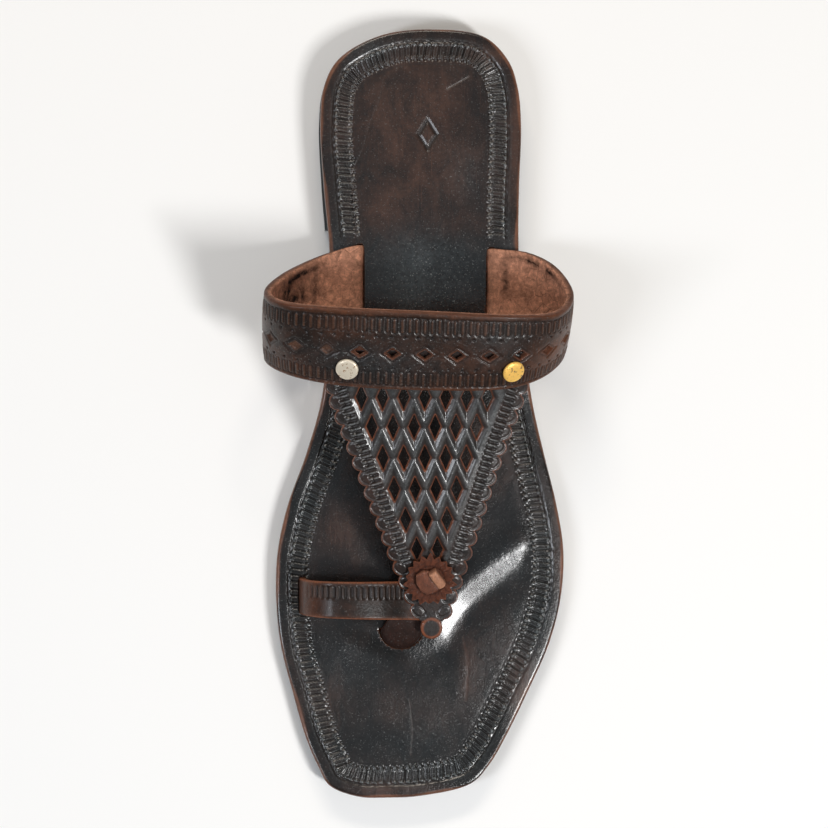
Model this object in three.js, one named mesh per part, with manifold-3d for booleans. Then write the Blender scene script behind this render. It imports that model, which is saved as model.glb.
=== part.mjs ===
// Left kolhapuri sandal: tooled leather top sole, rubber outsole and heel lift, an instep band, a pierced
// pointed strap, a toe loop with its post, a pinked rosette with a knot, and two rivets.
// Millimetres. +X is the medial side, +Y the toe, +Z up. The origin is under the middle, on the floor.
import * as THREE from "three";
import { mergeVertices } from "three/addons/utils/BufferGeometryUtils.js";
import Module from "manifold-3d";

const wasm = await Module();
wasm.setup();

// Driving dimensions
const LENGTH = 270;
const HALF_BALL = 50.9;
const HALF_HEEL = 35.3;
const INSTEP_HEIGHT = 47;
const RING_HALF_WIDTH = 54;

const GAP = 0.3;
const OUTSOLE = 3.4;
const TOP_SOLE = 4;
const HEEL_LIFT = 6;
const HEEL_BREAST = 70;
const TREAD_START = 150;
const TOE_SPRING_START = 236;
const TOE_SPRING_END = 278;
const TOE_SPRING = 3;
const ARCH_RISE = 1.6;
const ARCH_MIDDLE = 104;
const ARCH_REACH = 40;
const EDGE_ROUND = 1.1;

const BAND_THICK = 2.6;
const BAND_CROWN = 0.7;
const CROWN_FADE = 0.1;
const POINTED_THICK = 2.4;
const LOOP_THICK = 2.2;
const LOBE_PITCH = 5.2;
const LOBE_DEPTH = 2.8;
const LOBES_END = 205.9;
const TIP_LOBE = { y: 209.3, radius: 3.8 };
const TIP_HALF = 0.4;
const SOLE_STATIONS = 44;
const SOLE_COLUMNS = 6;

// Sole outline: distance from the heel as a share of the length, then the half widths of each side as
// shares of the ball's half width.
const SOLE_OUTLINE = [
  { along: 0.0089, medial: 0.288, lateral: 0.43 },
  { along: 0.0396, medial: 0.572, lateral: 0.599 },
  { along: 0.0741, medial: 0.672, lateral: 0.664 },
  { along: 0.122, medial: 0.699, lateral: 0.688 },
  { along: 0.207, medial: 0.674, lateral: 0.674 },
  { along: 0.289, medial: 0.636, lateral: 0.672 },
  { along: 0.385, medial: 0.64, lateral: 0.707 },
  { along: 0.481, medial: 0.688, lateral: 0.776 },
  { along: 0.557, medial: 0.802, lateral: 0.868 },
  { along: 0.619, medial: 0.921, lateral: 0.949 },
  { along: 0.679, medial: 0.99, lateral: 0.998 },
  { along: 0.74, medial: 1.002, lateral: 0.98 },
  { along: 0.801, medial: 0.969, lateral: 0.898 },
  { along: 0.862, medial: 0.888, lateral: 0.754 },
  { along: 0.923, medial: 0.794, lateral: 0.593 },
  { along: 0.959, medial: 0.711, lateral: 0.475 },
  { along: 0.983, medial: 0.637, lateral: 0.346 },
  { along: 0.998, medial: 0.442, lateral: 0.0 },
];
const HEEL_TIP_X = -3.2;
const TOE_TIP_X = 11;

function ease(from, to, value) {
  return THREE.MathUtils.smootherstep(value, from, to);
}

// Height of the outsole's underside: level over the heel lift, down to the floor at the tread, up at the toe,
// with a low arch under the medial side of the waist.
function undersideHeight(x, y) {
  const heel = (HEEL_LIFT + GAP) * (1 - ease(HEEL_BREAST, TREAD_START, y));
  const toe = TOE_SPRING * ease(TOE_SPRING_START, TOE_SPRING_END, y);
  const waist = Math.max(0, 1 - ((y - ARCH_MIDDLE) / ARCH_REACH) ** 2);
  const arch = ARCH_RISE * waist * waist * ease(0, HALF_HEEL, x);
  return heel + toe + arch;
}

function insoleHeight(x, y) {
  return undersideHeight(x, y) + OUTSOLE + GAP + TOP_SOLE;
}

function outlineCurve() {
  const side = (key, sign) =>
    SOLE_OUTLINE.map((row) => new THREE.Vector3(sign * row[key] * HALF_BALL, row.along * LENGTH, 0));
  const heelTip = new THREE.Vector3(HEEL_TIP_X, 0, 0);
  const toeTip = new THREE.Vector3(TOE_TIP_X, LENGTH, 0);
  const points = [heelTip, ...side("medial", 1), toeTip, ...side("lateral", -1).reverse()];
  return new THREE.CatmullRomCurve3(points, true, "centripetal");
}

const OUTLINE = outlineCurve();
const TOE_END = 0.5;
const SIDES = { medial: 0, lateral: 1 };

// The point of one side of the outline at a distance y from the heel, moved outwards by grow.
function edgePoint(side, y, grow) {
  let heelwards = SIDES[side];
  let toewards = TOE_END;
  for (let step = 0; step < 40; step += 1) {
    const middle = (heelwards + toewards) / 2;
    if (OUTLINE.getPoint(middle).y < y) heelwards = middle;
    else toewards = middle;
  }
  const at = y <= 0 ? 0 : y >= LENGTH ? TOE_END : heelwards;
  const point = OUTLINE.getPoint(at);
  const tangent = OUTLINE.getTangent(at);
  return new THREE.Vector2(point.x + tangent.y * grow, point.y - tangent.x * grow);
}

// A closed mesh from rings of points: each ring joins the next, and the first and last are closed by fans
// unless their points coincide.
function loft(rings, capped = true) {
  const count = rings[0].length;
  const positions = rings.flat().flatMap((point) => [point.x, point.y, point.z]);
  const index = [];
  for (let row = 0; row + 1 < rings.length; row += 1) {
    for (let column = 0; column < count; column += 1) {
      const next = (column + 1) % count;
      const a = row * count + column;
      const b = row * count + next;
      index.push(a, b, a + count, b, b + count, a + count);
    }
  }
  if (capped) {
    const last = (rings.length - 1) * count;
    const half = count / 2;
    for (let column = 0; column + 1 < half; column += 1) {
      const across = count - 1 - column;
      index.push(column, across, column + 1, column + 1, across, across - 1);
      index.push(last + column, last + column + 1, last + across);
      index.push(last + column + 1, last + across - 1, last + across);
    }
  }
  const geometry = new THREE.BufferGeometry();
  geometry.setAttribute("position", new THREE.Float32BufferAttribute(positions, 3));
  geometry.setIndex(index);
  return geometry;
}

// A solid from a closed geometry, whichever way its faces point.
function solidOf(geometry) {
  const bare = geometry.clone();
  bare.deleteAttribute("normal");
  bare.deleteAttribute("uv");
  const merged = mergeVertices(bare, 1e-4);
  const corners = merged.index.array;
  const at = (corner) => new THREE.Vector3().fromBufferAttribute(merged.attributes.position, corner);
  const kept = [];
  let volume = 0;
  for (let first = 0; first < corners.length; first += 3) {
    const [a, b, c] = corners.subarray(first, first + 3);
    if (a !== b && b !== c && a !== c) kept.push(a, b, c);
    volume += at(a).dot(at(b).cross(at(c)));
  }
  const mesh = new wasm.Mesh({
    numProp: 3,
    vertProperties: Float32Array.from(merged.attributes.position.array),
    triVerts: Uint32Array.from(volume < 0 ? kept.reverse() : kept),
  });
  return new wasm.Manifold(mesh);
}

function geometryOf(solid) {
  const mesh = solid.getMesh();
  const geometry = new THREE.BufferGeometry();
  geometry.setAttribute("position", new THREE.BufferAttribute(mesh.vertProperties, 3));
  geometry.setIndex(new THREE.BufferAttribute(mesh.triVerts, 1));
  return geometry;
}

// One layer of the sole between two heights, from one distance to another, with its upper edge rounded.
function soleLayer({ bottom, top, to = LENGTH, stations = SOLE_STATIONS, grow = () => 0, round = 0 }) {
  const rings = [];
  const end = to < LENGTH ? Math.acos(1 - (2 * to) / LENGTH) / Math.PI : 1;
  for (let station = 0; station <= stations; station += 1) {
    const y = (LENGTH / 2) * (1 - Math.cos((Math.PI * end * station) / stations));
    const chain = (inset, height, drop) => {
      const from = edgePoint("lateral", y, grow(y) - inset);
      const till = edgePoint("medial", y, grow(y) - inset);
      return Array.from({ length: SOLE_COLUMNS + 1 }, (_, column) => {
        const at = from.clone().lerp(till, column / SOLE_COLUMNS);
        return new THREE.Vector3(at.x, at.y, height(at.x, at.y) - drop);
      });
    };
    const lower = chain(0, bottom, 0);
    const upper = chain(round, top, 0);
    const rim = chain(0, top, round);
    const tops = round > 0 ? [rim[0], ...upper, rim[SOLE_COLUMNS]] : upper;
    const floor = round > 0 ? [lower[0], ...lower, lower[SOLE_COLUMNS]] : lower;
    rings.push([...floor, ...tops.reverse()]);
  }
  return solidOf(loft(rings, to < LENGTH));
}

// A leather strap as a solid sheet about surface(along, across), both from 0 to 1.
function strapSolid({ surface, thick, steps, columns, margin = 0 }) {
  const small = 1e-3;
  const rings = [];
  for (let step = 0; step <= steps; step += 1) {
    const along = step / steps;
    const outer = [];
    const inner = [];
    for (let column = 0; column <= columns; column += 1) {
      const across = column / columns;
      const here = surface(along, across);
      const ahead = surface(Math.min(1, along + small), across);
      const right = surface(along, Math.min(1, across + small));
      const run = ahead.sub(surface(Math.max(0, along - small), across));
      const side = right.sub(surface(along, Math.max(0, across - small)));
      const normal = run.clone().cross(side).normalize();
      const widen = side.normalize().multiplyScalar(margin * (2 * across - 1));
      outer.push(here.clone().add(widen).addScaledVector(normal, thick / 2));
      inner.push(here.clone().add(widen).addScaledVector(normal, -thick / 2));
    }
    rings.push([...outer, ...inner.reverse()]);
  }
  return solidOf(loft(rings));
}

function spline(points) {
  return new THREE.CatmullRomCurve3(points, false, "centripetal");
}

// Instep band and its ears, one leather strip from the medial slit over the instep to the lateral slit.
// heelX, toeX: places of its two edges from medial to lateral as shares of the ring's half width.
// heelY, toeY: their distances from the heel. heelUp, toeUp: their heights over the insole as shares of the
// instep height. The first and last rows stand at the mouths of the slits.
const BAND_ROWS = [
  { heelX: 0.398, heelY: 76, heelUp: -0.03, toeX: 0.398, toeY: 104, toeUp: -0.03 },
  { heelX: 0.415, heelY: 76, heelUp: 0.022, toeX: 0.415, toeY: 104, toeUp: 0.022 },
  { heelX: 0.48, heelY: 76.8, heelUp: 0.04, toeX: 0.48, toeY: 103.8, toeUp: 0.04 },
  { heelX: 0.64, heelY: 79.8, heelUp: 0.07, toeX: 0.64, toeY: 104.4, toeUp: 0.06 },
  { heelX: 0.9, heelY: 87.6, heelUp: 0.36, toeX: 0.9, toeY: 109, toeUp: 0.18 },
  { heelX: 1, heelY: 94.6, heelUp: 0.74, toeX: 1, toeY: 116, toeUp: 0.42 },
  { heelX: 0.9, heelY: 98.2, heelUp: 0.97, toeX: 0.88, toeY: 121, toeUp: 0.7 },
  { heelX: 0.6, heelY: 100, heelUp: 1.06, toeX: 0.6, toeY: 124.6, toeUp: 0.86 },
  { heelX: 0, heelY: 101.4, heelUp: 1.11, toeX: 0, toeY: 126.6, toeUp: 0.92 },
  { heelX: -0.52, heelY: 102.3, heelUp: 1.06, toeX: -0.5, toeY: 125.8, toeUp: 0.86 },
  { heelX: -0.78, heelY: 101, heelUp: 0.93, toeX: -0.74, toeY: 121.2, toeUp: 0.66 },
  { heelX: -0.893, heelY: 94.6, heelUp: 0.66, toeX: -0.872, toeY: 114, toeUp: 0.4 },
  { heelX: -0.82, heelY: 84, heelUp: 0.3, toeX: -0.81, toeY: 108.4, toeUp: 0.18 },
  { heelX: -0.66, heelY: 78.4, heelUp: 0.07, toeX: -0.66, toeY: 104.6, toeUp: 0.06 },
  { heelX: -0.53, heelY: 77.4, heelUp: 0.04, toeX: -0.53, toeY: 104.8, toeUp: 0.04 },
  { heelX: -0.462, heelY: 77, heelUp: 0.022, toeX: -0.462, toeY: 105, toeUp: 0.022 },
  { heelX: -0.445, heelY: 77, heelUp: -0.03, toeX: -0.445, toeY: 105, toeUp: -0.03 },
];

function instepBand(footDepth) {
  const edge = (key) => {
    const at = (row, up) => {
      const x = row[`${key}X`] * RING_HALF_WIDTH;
      const y = row[`${key}Y`];
      return new THREE.Vector3(x, y, insoleHeight(x, y) + up);
    };
    const points = BAND_ROWS.map((row) => at(row, row[`${key}Up`] * INSTEP_HEIGHT));
    points.unshift(at(BAND_ROWS[0], -footDepth));
    points.push(at(BAND_ROWS[BAND_ROWS.length - 1], -footDepth));
    return spline(points);
  };
  const heelEdge = edge("heel");
  const toeEdge = edge("toe");
  const flat = (along, across) => heelEdge.getPoint(along).lerp(toeEdge.getPoint(along), across);
  const small = 1e-3;
  return (along, across) => {
    const run = flat(Math.min(1, along + small), 0.5).sub(flat(Math.max(0, along - small), 0.5));
    const side = flat(along, 1).sub(flat(along, 0));
    const outwards = side.cross(run).normalize();
    const free = Math.min(1, Math.min(along, 1 - along) / CROWN_FADE);
    return flat(along, across).addScaledVector(outwards, free * BAND_CROWN * 4 * across * (1 - across));
  };
}

// Pierced pointed strap: y along the foot, x of its middle line, half its width between the lobes' roots,
// height of its middle over the insole, and how far its sides hang below the middle.
const POINTED_ROWS = [
  { y: 113, x: 0.6, half: 33.2, up: 46.2, sag: 4.2 },
  { y: 127, x: 0.6, half: 31, up: 41, sag: 4.6 },
  { y: 145, x: 0.2, half: 24.6, up: 34.6, sag: 3.6 },
  { y: 163, x: -0.6, half: 18.4, up: 28.8, sag: 2.6 },
  { y: 180, x: -1.5, half: 12.6, up: 22.4, sag: 1.5 },
  { y: 193, x: -2.3, half: 8.2, up: 15.6, sag: 0.6 },
  { y: 203, x: -2.7, half: 4.7, up: 12.6, sag: 0 },
  { y: 208, x: -2.9, half: 2.4, up: 11.4, sag: 0 },
  { y: 213.4, x: -3, half: 0.4, up: 9.8, sag: 0 },
];

const POINTED_HEEL = POINTED_ROWS[0].y;
const POINTED_TOE = TIP_LOBE.y + TIP_LOBE.radius;
const POINTED_MIDDLE = spline(POINTED_ROWS.map((row) => new THREE.Vector3(row.x, row.y, row.up)));
const POINTED_SHAPE = spline(POINTED_ROWS.map((row) => new THREE.Vector3(row.half, row.sag, 0)));

// Middle line, height and shape of the pointed strap at a distance y from the heel.
function pointedAt(y) {
  let heelwards = 0;
  let toewards = 1;
  for (let step = 0; step < 30; step += 1) {
    const middle = (heelwards + toewards) / 2;
    if (POINTED_MIDDLE.getPoint(middle).y < y) heelwards = middle;
    else toewards = middle;
  }
  const at = POINTED_MIDDLE.getPoint(heelwards);
  const shape = POINTED_SHAPE.getPoint(heelwards);
  return { x: at.x, z: insoleHeight(0, y) + at.z, half: shape.x, sag: shape.y };
}

// Half the width of the pointed strap with its lobes. The last lobe is a round tip.
function pointedReach(y, half) {
  const tip = Math.sqrt(Math.max(0, TIP_LOBE.radius ** 2 - (y - TIP_LOBE.y) ** 2));
  if (y > TIP_LOBE.y) return Math.max(TIP_HALF, tip);
  const lobe = Math.abs(Math.sin((Math.PI * (LOBES_END - y)) / LOBE_PITCH));
  return Math.max(tip, y < LOBES_END ? half + LOBE_DEPTH * lobe : half);
}

function pointedStrap() {
  return (along, across) => {
    const y = POINTED_HEEL + (POINTED_TOE - POINTED_HEEL) * along;
    const at = pointedAt(y);
    const reach = (2 * across - 1) * pointedReach(y, at.half);
    const drop = at.sag * (reach / (at.half + LOBE_DEPTH)) ** 2;
    return new THREE.Vector3(at.x + reach, y, at.z - drop);
  };
}

// Toe loop, a strap from its slit over the big toe to the knot: x across the foot, edges y, height.
const LOOP_ROWS = [
  { x: 41.7, heelY: 192.6, toeY: 204.9, up: 0 },
  { x: 41.5, heelY: 192.6, toeY: 204.9, up: 5 },
  { x: 39.7, heelY: 192.7, toeY: 205, up: 11.6 },
  { x: 34.6, heelY: 192.8, toeY: 205.3, up: 16.4 },
  { x: 26, heelY: 192.9, toeY: 205.6, up: 18.2 },
  { x: 15.6, heelY: 193, toeY: 206, up: 16.8 },
  { x: 6, heelY: 193.1, toeY: 206.4, up: 12.8 },
  { x: -3, heelY: 193.2, toeY: 206.6, up: 10.6 },
  { x: -8, heelY: 193.6, toeY: 204.5, up: 10.8 },
];

function toeLoop(footDepth) {
  const edge = (key) => {
    const at = (row) => new THREE.Vector3(row.x, row[key], insoleHeight(row.x, row[key]) + row.up);
    const points = LOOP_ROWS.map(at);
    points.unshift(points[0].clone().setZ(points[0].z - footDepth));
    return spline(points);
  };
  const heelEdge = edge("heelY");
  const toeEdge = edge("toeY");
  return (along, across) => heelEdge.getPoint(along).lerp(toeEdge.getPoint(along), across);
}

// Toe post, a scooped tongue from its crescent slit back up to the knot: middle of each arc-shaped section,
// half its width and how far it bulges towards the toe.
const POST_ROWS = [
  { x: 7, y: 211, up: 0, half: 6.3, bulge: 5.6 },
  { x: 6.6, y: 210, up: 2.4, half: 6.3, bulge: 5.2 },
  { x: 5, y: 206.6, up: 5.6, half: 6.1, bulge: 3.6 },
  { x: 2, y: 202, up: 8, half: 5.8, bulge: 1.8 },
  { x: -2, y: 197, up: 8.9, half: 5.2, bulge: 0.6 },
];

function toePost(footDepth) {
  const rows = [{ ...POST_ROWS[0], up: -footDepth }, ...POST_ROWS];
  const lifted = (row) => new THREE.Vector3(row.x, row.y, insoleHeight(row.x, row.y) + row.up);
  const middle = spline(rows.map(lifted));
  const shape = spline(rows.map((row, place) => new THREE.Vector3(row.half, row.bulge, place)));
  return (along, across) => {
    const at = middle.getPoint(along);
    const form = shape.getPoint(along);
    const angle = Math.PI * (across - 0.5);
    return at.add(new THREE.Vector3(form.x * Math.sin(angle), form.y * Math.cos(angle), 0));
  };
}

const STRAPS = [
  { path: instepBand, thick: BAND_THICK, steps: 72, columns: 4 },
  { path: toeLoop, thick: LOOP_THICK, steps: 30, columns: 2 },
  { path: toePost, thick: LOOP_THICK, steps: 16, columns: 10 },
];

function strap(row, footDepth, clearance = 0) {
  return strapSolid({
    surface: row.path(footDepth),
    thick: row.thick + 2 * clearance,
    steps: row.steps,
    columns: row.columns,
    margin: clearance,
  });
}

const POINTED_STEPS = 96;

function pointedSolid() {
  return strapSolid({ surface: pointedStrap(), thick: POINTED_THICK, steps: POINTED_STEPS, columns: 6 });
}

// Where a turned piece stands: its middle and the direction its top faces.
function place(solid, position, normal, spin = 0) {
  const turn = new THREE.Quaternion().setFromUnitVectors(new THREE.Vector3(0, 0, 1), normal);
  turn.multiply(new THREE.Quaternion().setFromAxisAngle(new THREE.Vector3(0, 0, 1), spin));
  const matrix = new THREE.Matrix4().compose(position, turn, new THREE.Vector3(1, 1, 1));
  return solid.transform(matrix.elements);
}

function surfaceFrame(surface, along, across) {
  const small = 1e-3;
  const run = surface(along + small, across).sub(surface(along - small, across));
  const side = surface(along, across + small).sub(surface(along, across - small));
  const normal = run.cross(side).normalize();
  if (normal.z < 0) normal.negate();
  return { position: surface(along, across), normal };
}

// Rivets through the instep band and the corners of the pointed strap.
const RIVET_HEAD = { radius: 3.8, rise: 1.3 };
const RIVET_SHANK = 1.4;
const RIVET_TAIL = { radius: 2.6, rise: 0.8 };
const RIVET_GRIP = 7.6;
const RIVET_SIDES = 20;
const RIVET_RIM = 0.4;
const RIVET_BORE = 16;
const RIVETS = [
  { name: "rivet_medial", colour: 0xcfcac0, along: 0.454, across: 0.75 },
  { name: "rivet_lateral", colour: 0xe0ae55, along: 0.555, across: 0.74 },
];

function rivet({ along, across }) {
  const outside = BAND_THICK / 2 + GAP;
  const tail = outside - RIVET_GRIP;
  const profile = [new THREE.Vector2(0, tail - RIVET_TAIL.rise)];
  profile.push(new THREE.Vector2(RIVET_TAIL.radius, tail - RIVET_TAIL.rise));
  profile.push(new THREE.Vector2(RIVET_TAIL.radius, tail));
  profile.push(new THREE.Vector2(RIVET_SHANK, tail));
  profile.push(new THREE.Vector2(RIVET_SHANK, outside));
  profile.push(new THREE.Vector2(RIVET_HEAD.radius, outside));
  const domeSteps = 4;
  for (let step = 0; step <= domeSteps; step += 1) {
    const angle = (Math.PI / 2) * (step / domeSteps);
    profile.push(
      new THREE.Vector2(
        RIVET_HEAD.radius * Math.cos(angle),
        outside + RIVET_RIM + (RIVET_HEAD.rise - RIVET_RIM) * Math.sin(angle),
      ),
    );
  }
  const lathe = new THREE.LatheGeometry(profile, RIVET_SIDES).rotateX(Math.PI / 2);
  const { position, normal } = surfaceFrame(instepBand(TOP_SOLE), along, across);
  return place(solidOf(lathe), position, normal);
}

function rivetHole({ along, across }) {
  const radius = RIVET_SHANK + GAP;
  const cylinder = new THREE.CylinderGeometry(radius, radius, RIVET_BORE, RIVET_SIDES).rotateX(Math.PI / 2);
  const { position, normal } = surfaceFrame(instepBand(TOP_SOLE), along, across);
  return place(solidOf(cylinder), position, normal);
}

// Rosette: a pinked leather disc that lies on the tip of the pointed strap and follows its fall.
const ROSETTE = { x: -1.8, y: 192.4, radius: 8.4, teeth: 18, notch: 1.6, thick: 1.8 };
const ROSETTE_BED = { from: 180, to: 206, half: 12 };
const BED_FALL = 1.12;

function extruded(shape, depth) {
  return new THREE.ExtrudeGeometry(shape, { depth, bevelEnabled: false, curveSegments: 6 });
}

function rosetteBed() {
  return (along, across) => {
    const y = ROSETTE_BED.from + (ROSETTE_BED.to - ROSETTE_BED.from) * along;
    const at = pointedAt(y);
    return new THREE.Vector3(at.x + (2 * across - 1) * ROSETTE_BED.half, y, at.z);
  };
}

function rosette() {
  const shape = new THREE.Shape();
  for (let tooth = 0; tooth < 2 * ROSETTE.teeth; tooth += 1) {
    const radius = ROSETTE.radius + ROSETTE.notch * (0.5 - (tooth % 2));
    const angle = (Math.PI * tooth) / ROSETTE.teeth;
    if (tooth === 0) shape.moveTo(radius, 0);
    else shape.lineTo(radius * Math.cos(angle), radius * Math.sin(angle));
  }
  shape.closePath();
  const prism = solidOf(extruded(shape, INSTEP_HEIGHT)).translate([ROSETTE.x, ROSETTE.y, 0]);
  const sheet = strapSolid({ surface: rosetteBed(), thick: ROSETTE.thick, steps: 10, columns: 1 });
  const lift = BED_FALL * (POINTED_THICK / 2 + GAP + ROSETTE.thick / 2);
  return prism.intersect(sheet.translate([0, 0, lift]));
}

// Knot: the thong's folded end with a bar of thong beside it. aside and ahead are its pieces' places from its
// seat on the rosette, before it is turned.
const KNOT_SPIN = 0.6;
const KNOT_SEAT = 0.4;
const KNOT_CLEARANCE = 0.5;
const KNOT_FOLD = { width: 6.8, length: 8.8, thick: 2.2, round: 1.6, aside: 1.6, ahead: -0.6 };
const KNOT_BAR = { width: 3.2, length: 7, thick: 3.4, round: 0.8, aside: -2.4, ahead: 0 };

function roundedPlate({ width, length, thick, round: radius, aside, ahead }) {
  const shape = new THREE.Shape();
  const [w, l] = [width / 2, length / 2];
  shape.moveTo(-w + radius, -l);
  shape.lineTo(w - radius, -l);
  shape.quadraticCurveTo(w, -l, w, -l + radius);
  shape.lineTo(w, l - radius);
  shape.quadraticCurveTo(w, l, w - radius, l);
  shape.lineTo(-w + radius, l);
  shape.quadraticCurveTo(-w, l, -w, l - radius);
  shape.lineTo(-w, -l + radius);
  shape.quadraticCurveTo(-w, -l, -w + radius, -l);
  return solidOf(extruded(shape, thick)).translate([aside, ahead, 0]);
}

function knot() {
  const both = roundedPlate(KNOT_FOLD).add(roundedPlate(KNOT_BAR));
  const { position, normal } = surfaceFrame(rosetteBed(), KNOT_SEAT, 0.5);
  const lift = POINTED_THICK / 2 + 2 * GAP + ROSETTE.thick + KNOT_CLEARANCE;
  return place(both, position.addScaledVector(normal, lift), normal, KNOT_SPIN);
}

function topSole() {
  const under = (x, y) => undersideHeight(x, y) + OUTSOLE + GAP;
  let solid = soleLayer({ bottom: under, top: insoleHeight, round: EDGE_ROUND });
  for (const row of STRAPS) solid = solid.subtract(strap(row, 2 * TOP_SOLE, GAP));
  return solid;
}

function outsole() {
  return soleLayer({
    bottom: undersideHeight,
    top: (x, y) => undersideHeight(x, y) + OUTSOLE,
    grow: () => -0.3,
  });
}

function heelLift() {
  return soleLayer({
    bottom: () => 0,
    top: (x, y) => undersideHeight(x, y) - GAP,
    to: HEEL_BREAST,
    stations: SOLE_STATIONS / 2,
    grow: (y) => 0.7 * (y / HEEL_BREAST) ** 2,
  });
}

function upper() {
  let solid = pointedSolid();
  for (const row of STRAPS) solid = solid.add(strap(row, TOP_SOLE - 2.5 * GAP));
  for (const row of RIVETS) solid = solid.subtract(rivetHole(row));
  return solid;
}

const PIECES = [
  { name: "topsole", make: topSole, colour: 0x38302c, roughness: 0.42, metalness: 0 },
  { name: "outsole", make: outsole, colour: 0x343938, roughness: 0.8, metalness: 0 },
  { name: "heel_lift", make: heelLift, colour: 0x353736, roughness: 0.8, metalness: 0 },
  { name: "upper", make: upper, colour: 0x3a2f2a, roughness: 0.45, metalness: 0 },
  { name: "rosette", make: rosette, colour: 0x6b3d29, roughness: 0.6, metalness: 0 },
  { name: "knot", make: knot, colour: 0x8a5a43, roughness: 0.6, metalness: 0 },
  ...RIVETS.map((row) => ({ ...row, make: () => rivet(row), roughness: 0.3, metalness: 1 })),
];

const sandal = new THREE.Group();
for (const piece of PIECES) {
  const material = new THREE.MeshStandardMaterial({
    color: piece.colour,
    roughness: piece.roughness,
    metalness: piece.metalness,
  });
  const mesh = new THREE.Mesh(geometryOf(piece.make()), material);
  mesh.name = piece.name;
  sandal.add(mesh);
}

const middle = new THREE.Box3().setFromObject(sandal).getCenter(new THREE.Vector3());
sandal.position.set(-middle.x, -middle.y, 0);

export default sandal;
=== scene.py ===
"""Left kolhapuri sandal: tooled leather top sole, rubber outsole and heel lift, instep band, pierced pointed
strap, toe loop and post, pinked rosette with its thong knot, and two rivets."""

import math

import bpy
import numpy as np
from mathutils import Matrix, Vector, geometry, kdtree


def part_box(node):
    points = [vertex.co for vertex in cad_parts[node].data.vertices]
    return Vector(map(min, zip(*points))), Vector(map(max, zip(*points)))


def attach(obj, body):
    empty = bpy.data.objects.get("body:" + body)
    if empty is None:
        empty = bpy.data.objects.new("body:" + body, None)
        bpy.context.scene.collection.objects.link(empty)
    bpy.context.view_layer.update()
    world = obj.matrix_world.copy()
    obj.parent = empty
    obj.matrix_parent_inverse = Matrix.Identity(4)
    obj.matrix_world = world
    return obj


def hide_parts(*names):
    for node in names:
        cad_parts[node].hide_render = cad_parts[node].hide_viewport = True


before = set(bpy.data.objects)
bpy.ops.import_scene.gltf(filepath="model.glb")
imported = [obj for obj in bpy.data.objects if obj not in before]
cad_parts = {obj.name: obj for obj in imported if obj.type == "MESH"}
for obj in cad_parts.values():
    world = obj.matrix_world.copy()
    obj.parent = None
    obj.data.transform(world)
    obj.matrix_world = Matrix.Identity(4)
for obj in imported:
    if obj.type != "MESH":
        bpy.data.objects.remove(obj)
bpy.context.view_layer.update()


# ---------------------------------------------------------------------------------------------------------
# Camera, floor and light. The shoe lies on a plain pale floor with the toe towards the foot of the picture,
# seen from straight above and a little to its medial side. A wide soft light hangs overhead, and three
# narrower ones stand at a window, a door and the heel.
# ---------------------------------------------------------------------------------------------------------
CAMERA_PLACE = Vector((0.056, 0.0004, 0.85))
CAMERA_AIM = Vector((0.0, 0.0, 0.012))
CAMERA_LENS = 104.0
FLOOR_COLOUR = "#f2f1ef"
AIR_COLOUR = "#dfe3e6"
AIR_STRENGTH = 0.22
LAMPS = [
    {"name": "overhead", "place": (0.0, -0.05, 1.25), "size": (0.8, 0.8), "power": 0.5, "tint": "#eaf3ff"},
    {"name": "window", "place": (-0.52, 0.42, 1.0), "size": (0.12, 0.34), "power": 8.8, "tint": "#ffffff"},
    {"name": "door", "place": (0.72, 0.25, 0.9), "size": (0.15, 0.5), "power": 4.2, "tint": "#f2f7ff"},
    {"name": "heel_side", "place": (0.1, -0.85, 0.8), "size": (0.6, 0.15), "power": 4.5, "tint": "#fff4e6"},
]


def linear(colour):
    """The linear colour of an sRGB hex value."""
    parts = [int(colour[k : k + 2], 16) / 255 for k in (1, 3, 5)]
    return [c / 12.92 if c <= 0.04045 else ((c + 0.055) / 1.055) ** 2.4 for c in parts] + [1.0]


def add(tree, kind, inputs=None, **settings):
    """Adds a node with its settings, and fills or links its inputs by name or number."""
    made = tree.nodes.new(kind)
    for name, value in settings.items():
        setattr(made, name, value)
    for name, value in (inputs or {}).items():
        if isinstance(value, bpy.types.NodeSocket):
            tree.links.new(value, made.inputs[name])
        else:
            made.inputs[name].default_value = value
    return made


camera = bpy.data.objects.new("camera", bpy.data.cameras.new("camera"))
bpy.context.collection.objects.link(camera)
bpy.context.scene.camera = camera
camera.data.lens = CAMERA_LENS
camera.data.clip_start = 0.01
camera.location = CAMERA_PLACE
gaze = (CAMERA_AIM - CAMERA_PLACE).normalized()
right = gaze.cross(Vector((0, -1, 0))).normalized()
upwards = right.cross(gaze)
turn = camera.rotation_euler.to_matrix()
turn.col[0], turn.col[1], turn.col[2] = right, upwards, -gaze
camera.rotation_euler = turn.to_euler()

for lamp in LAMPS:
    light = bpy.data.lights.new(lamp["name"], "AREA")
    light.shape = "RECTANGLE"
    light.size, light.size_y = lamp["size"]
    light.energy = lamp["power"]
    light.color = linear(lamp["tint"])[:3]
    holder = bpy.data.objects.new(lamp["name"], light)
    bpy.context.collection.objects.link(holder)
    holder.location = lamp["place"]
    holder.rotation_euler = (CAMERA_AIM - holder.location).to_track_quat("-Z", "Y").to_euler()

world = bpy.data.worlds.new("studio")
bpy.context.scene.world = world
world.use_nodes = True
world.node_tree.nodes["Background"].inputs["Color"].default_value = linear(AIR_COLOUR)
world.node_tree.nodes["Background"].inputs["Strength"].default_value = AIR_STRENGTH
bpy.context.scene.view_settings.view_transform = "Standard"

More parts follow.
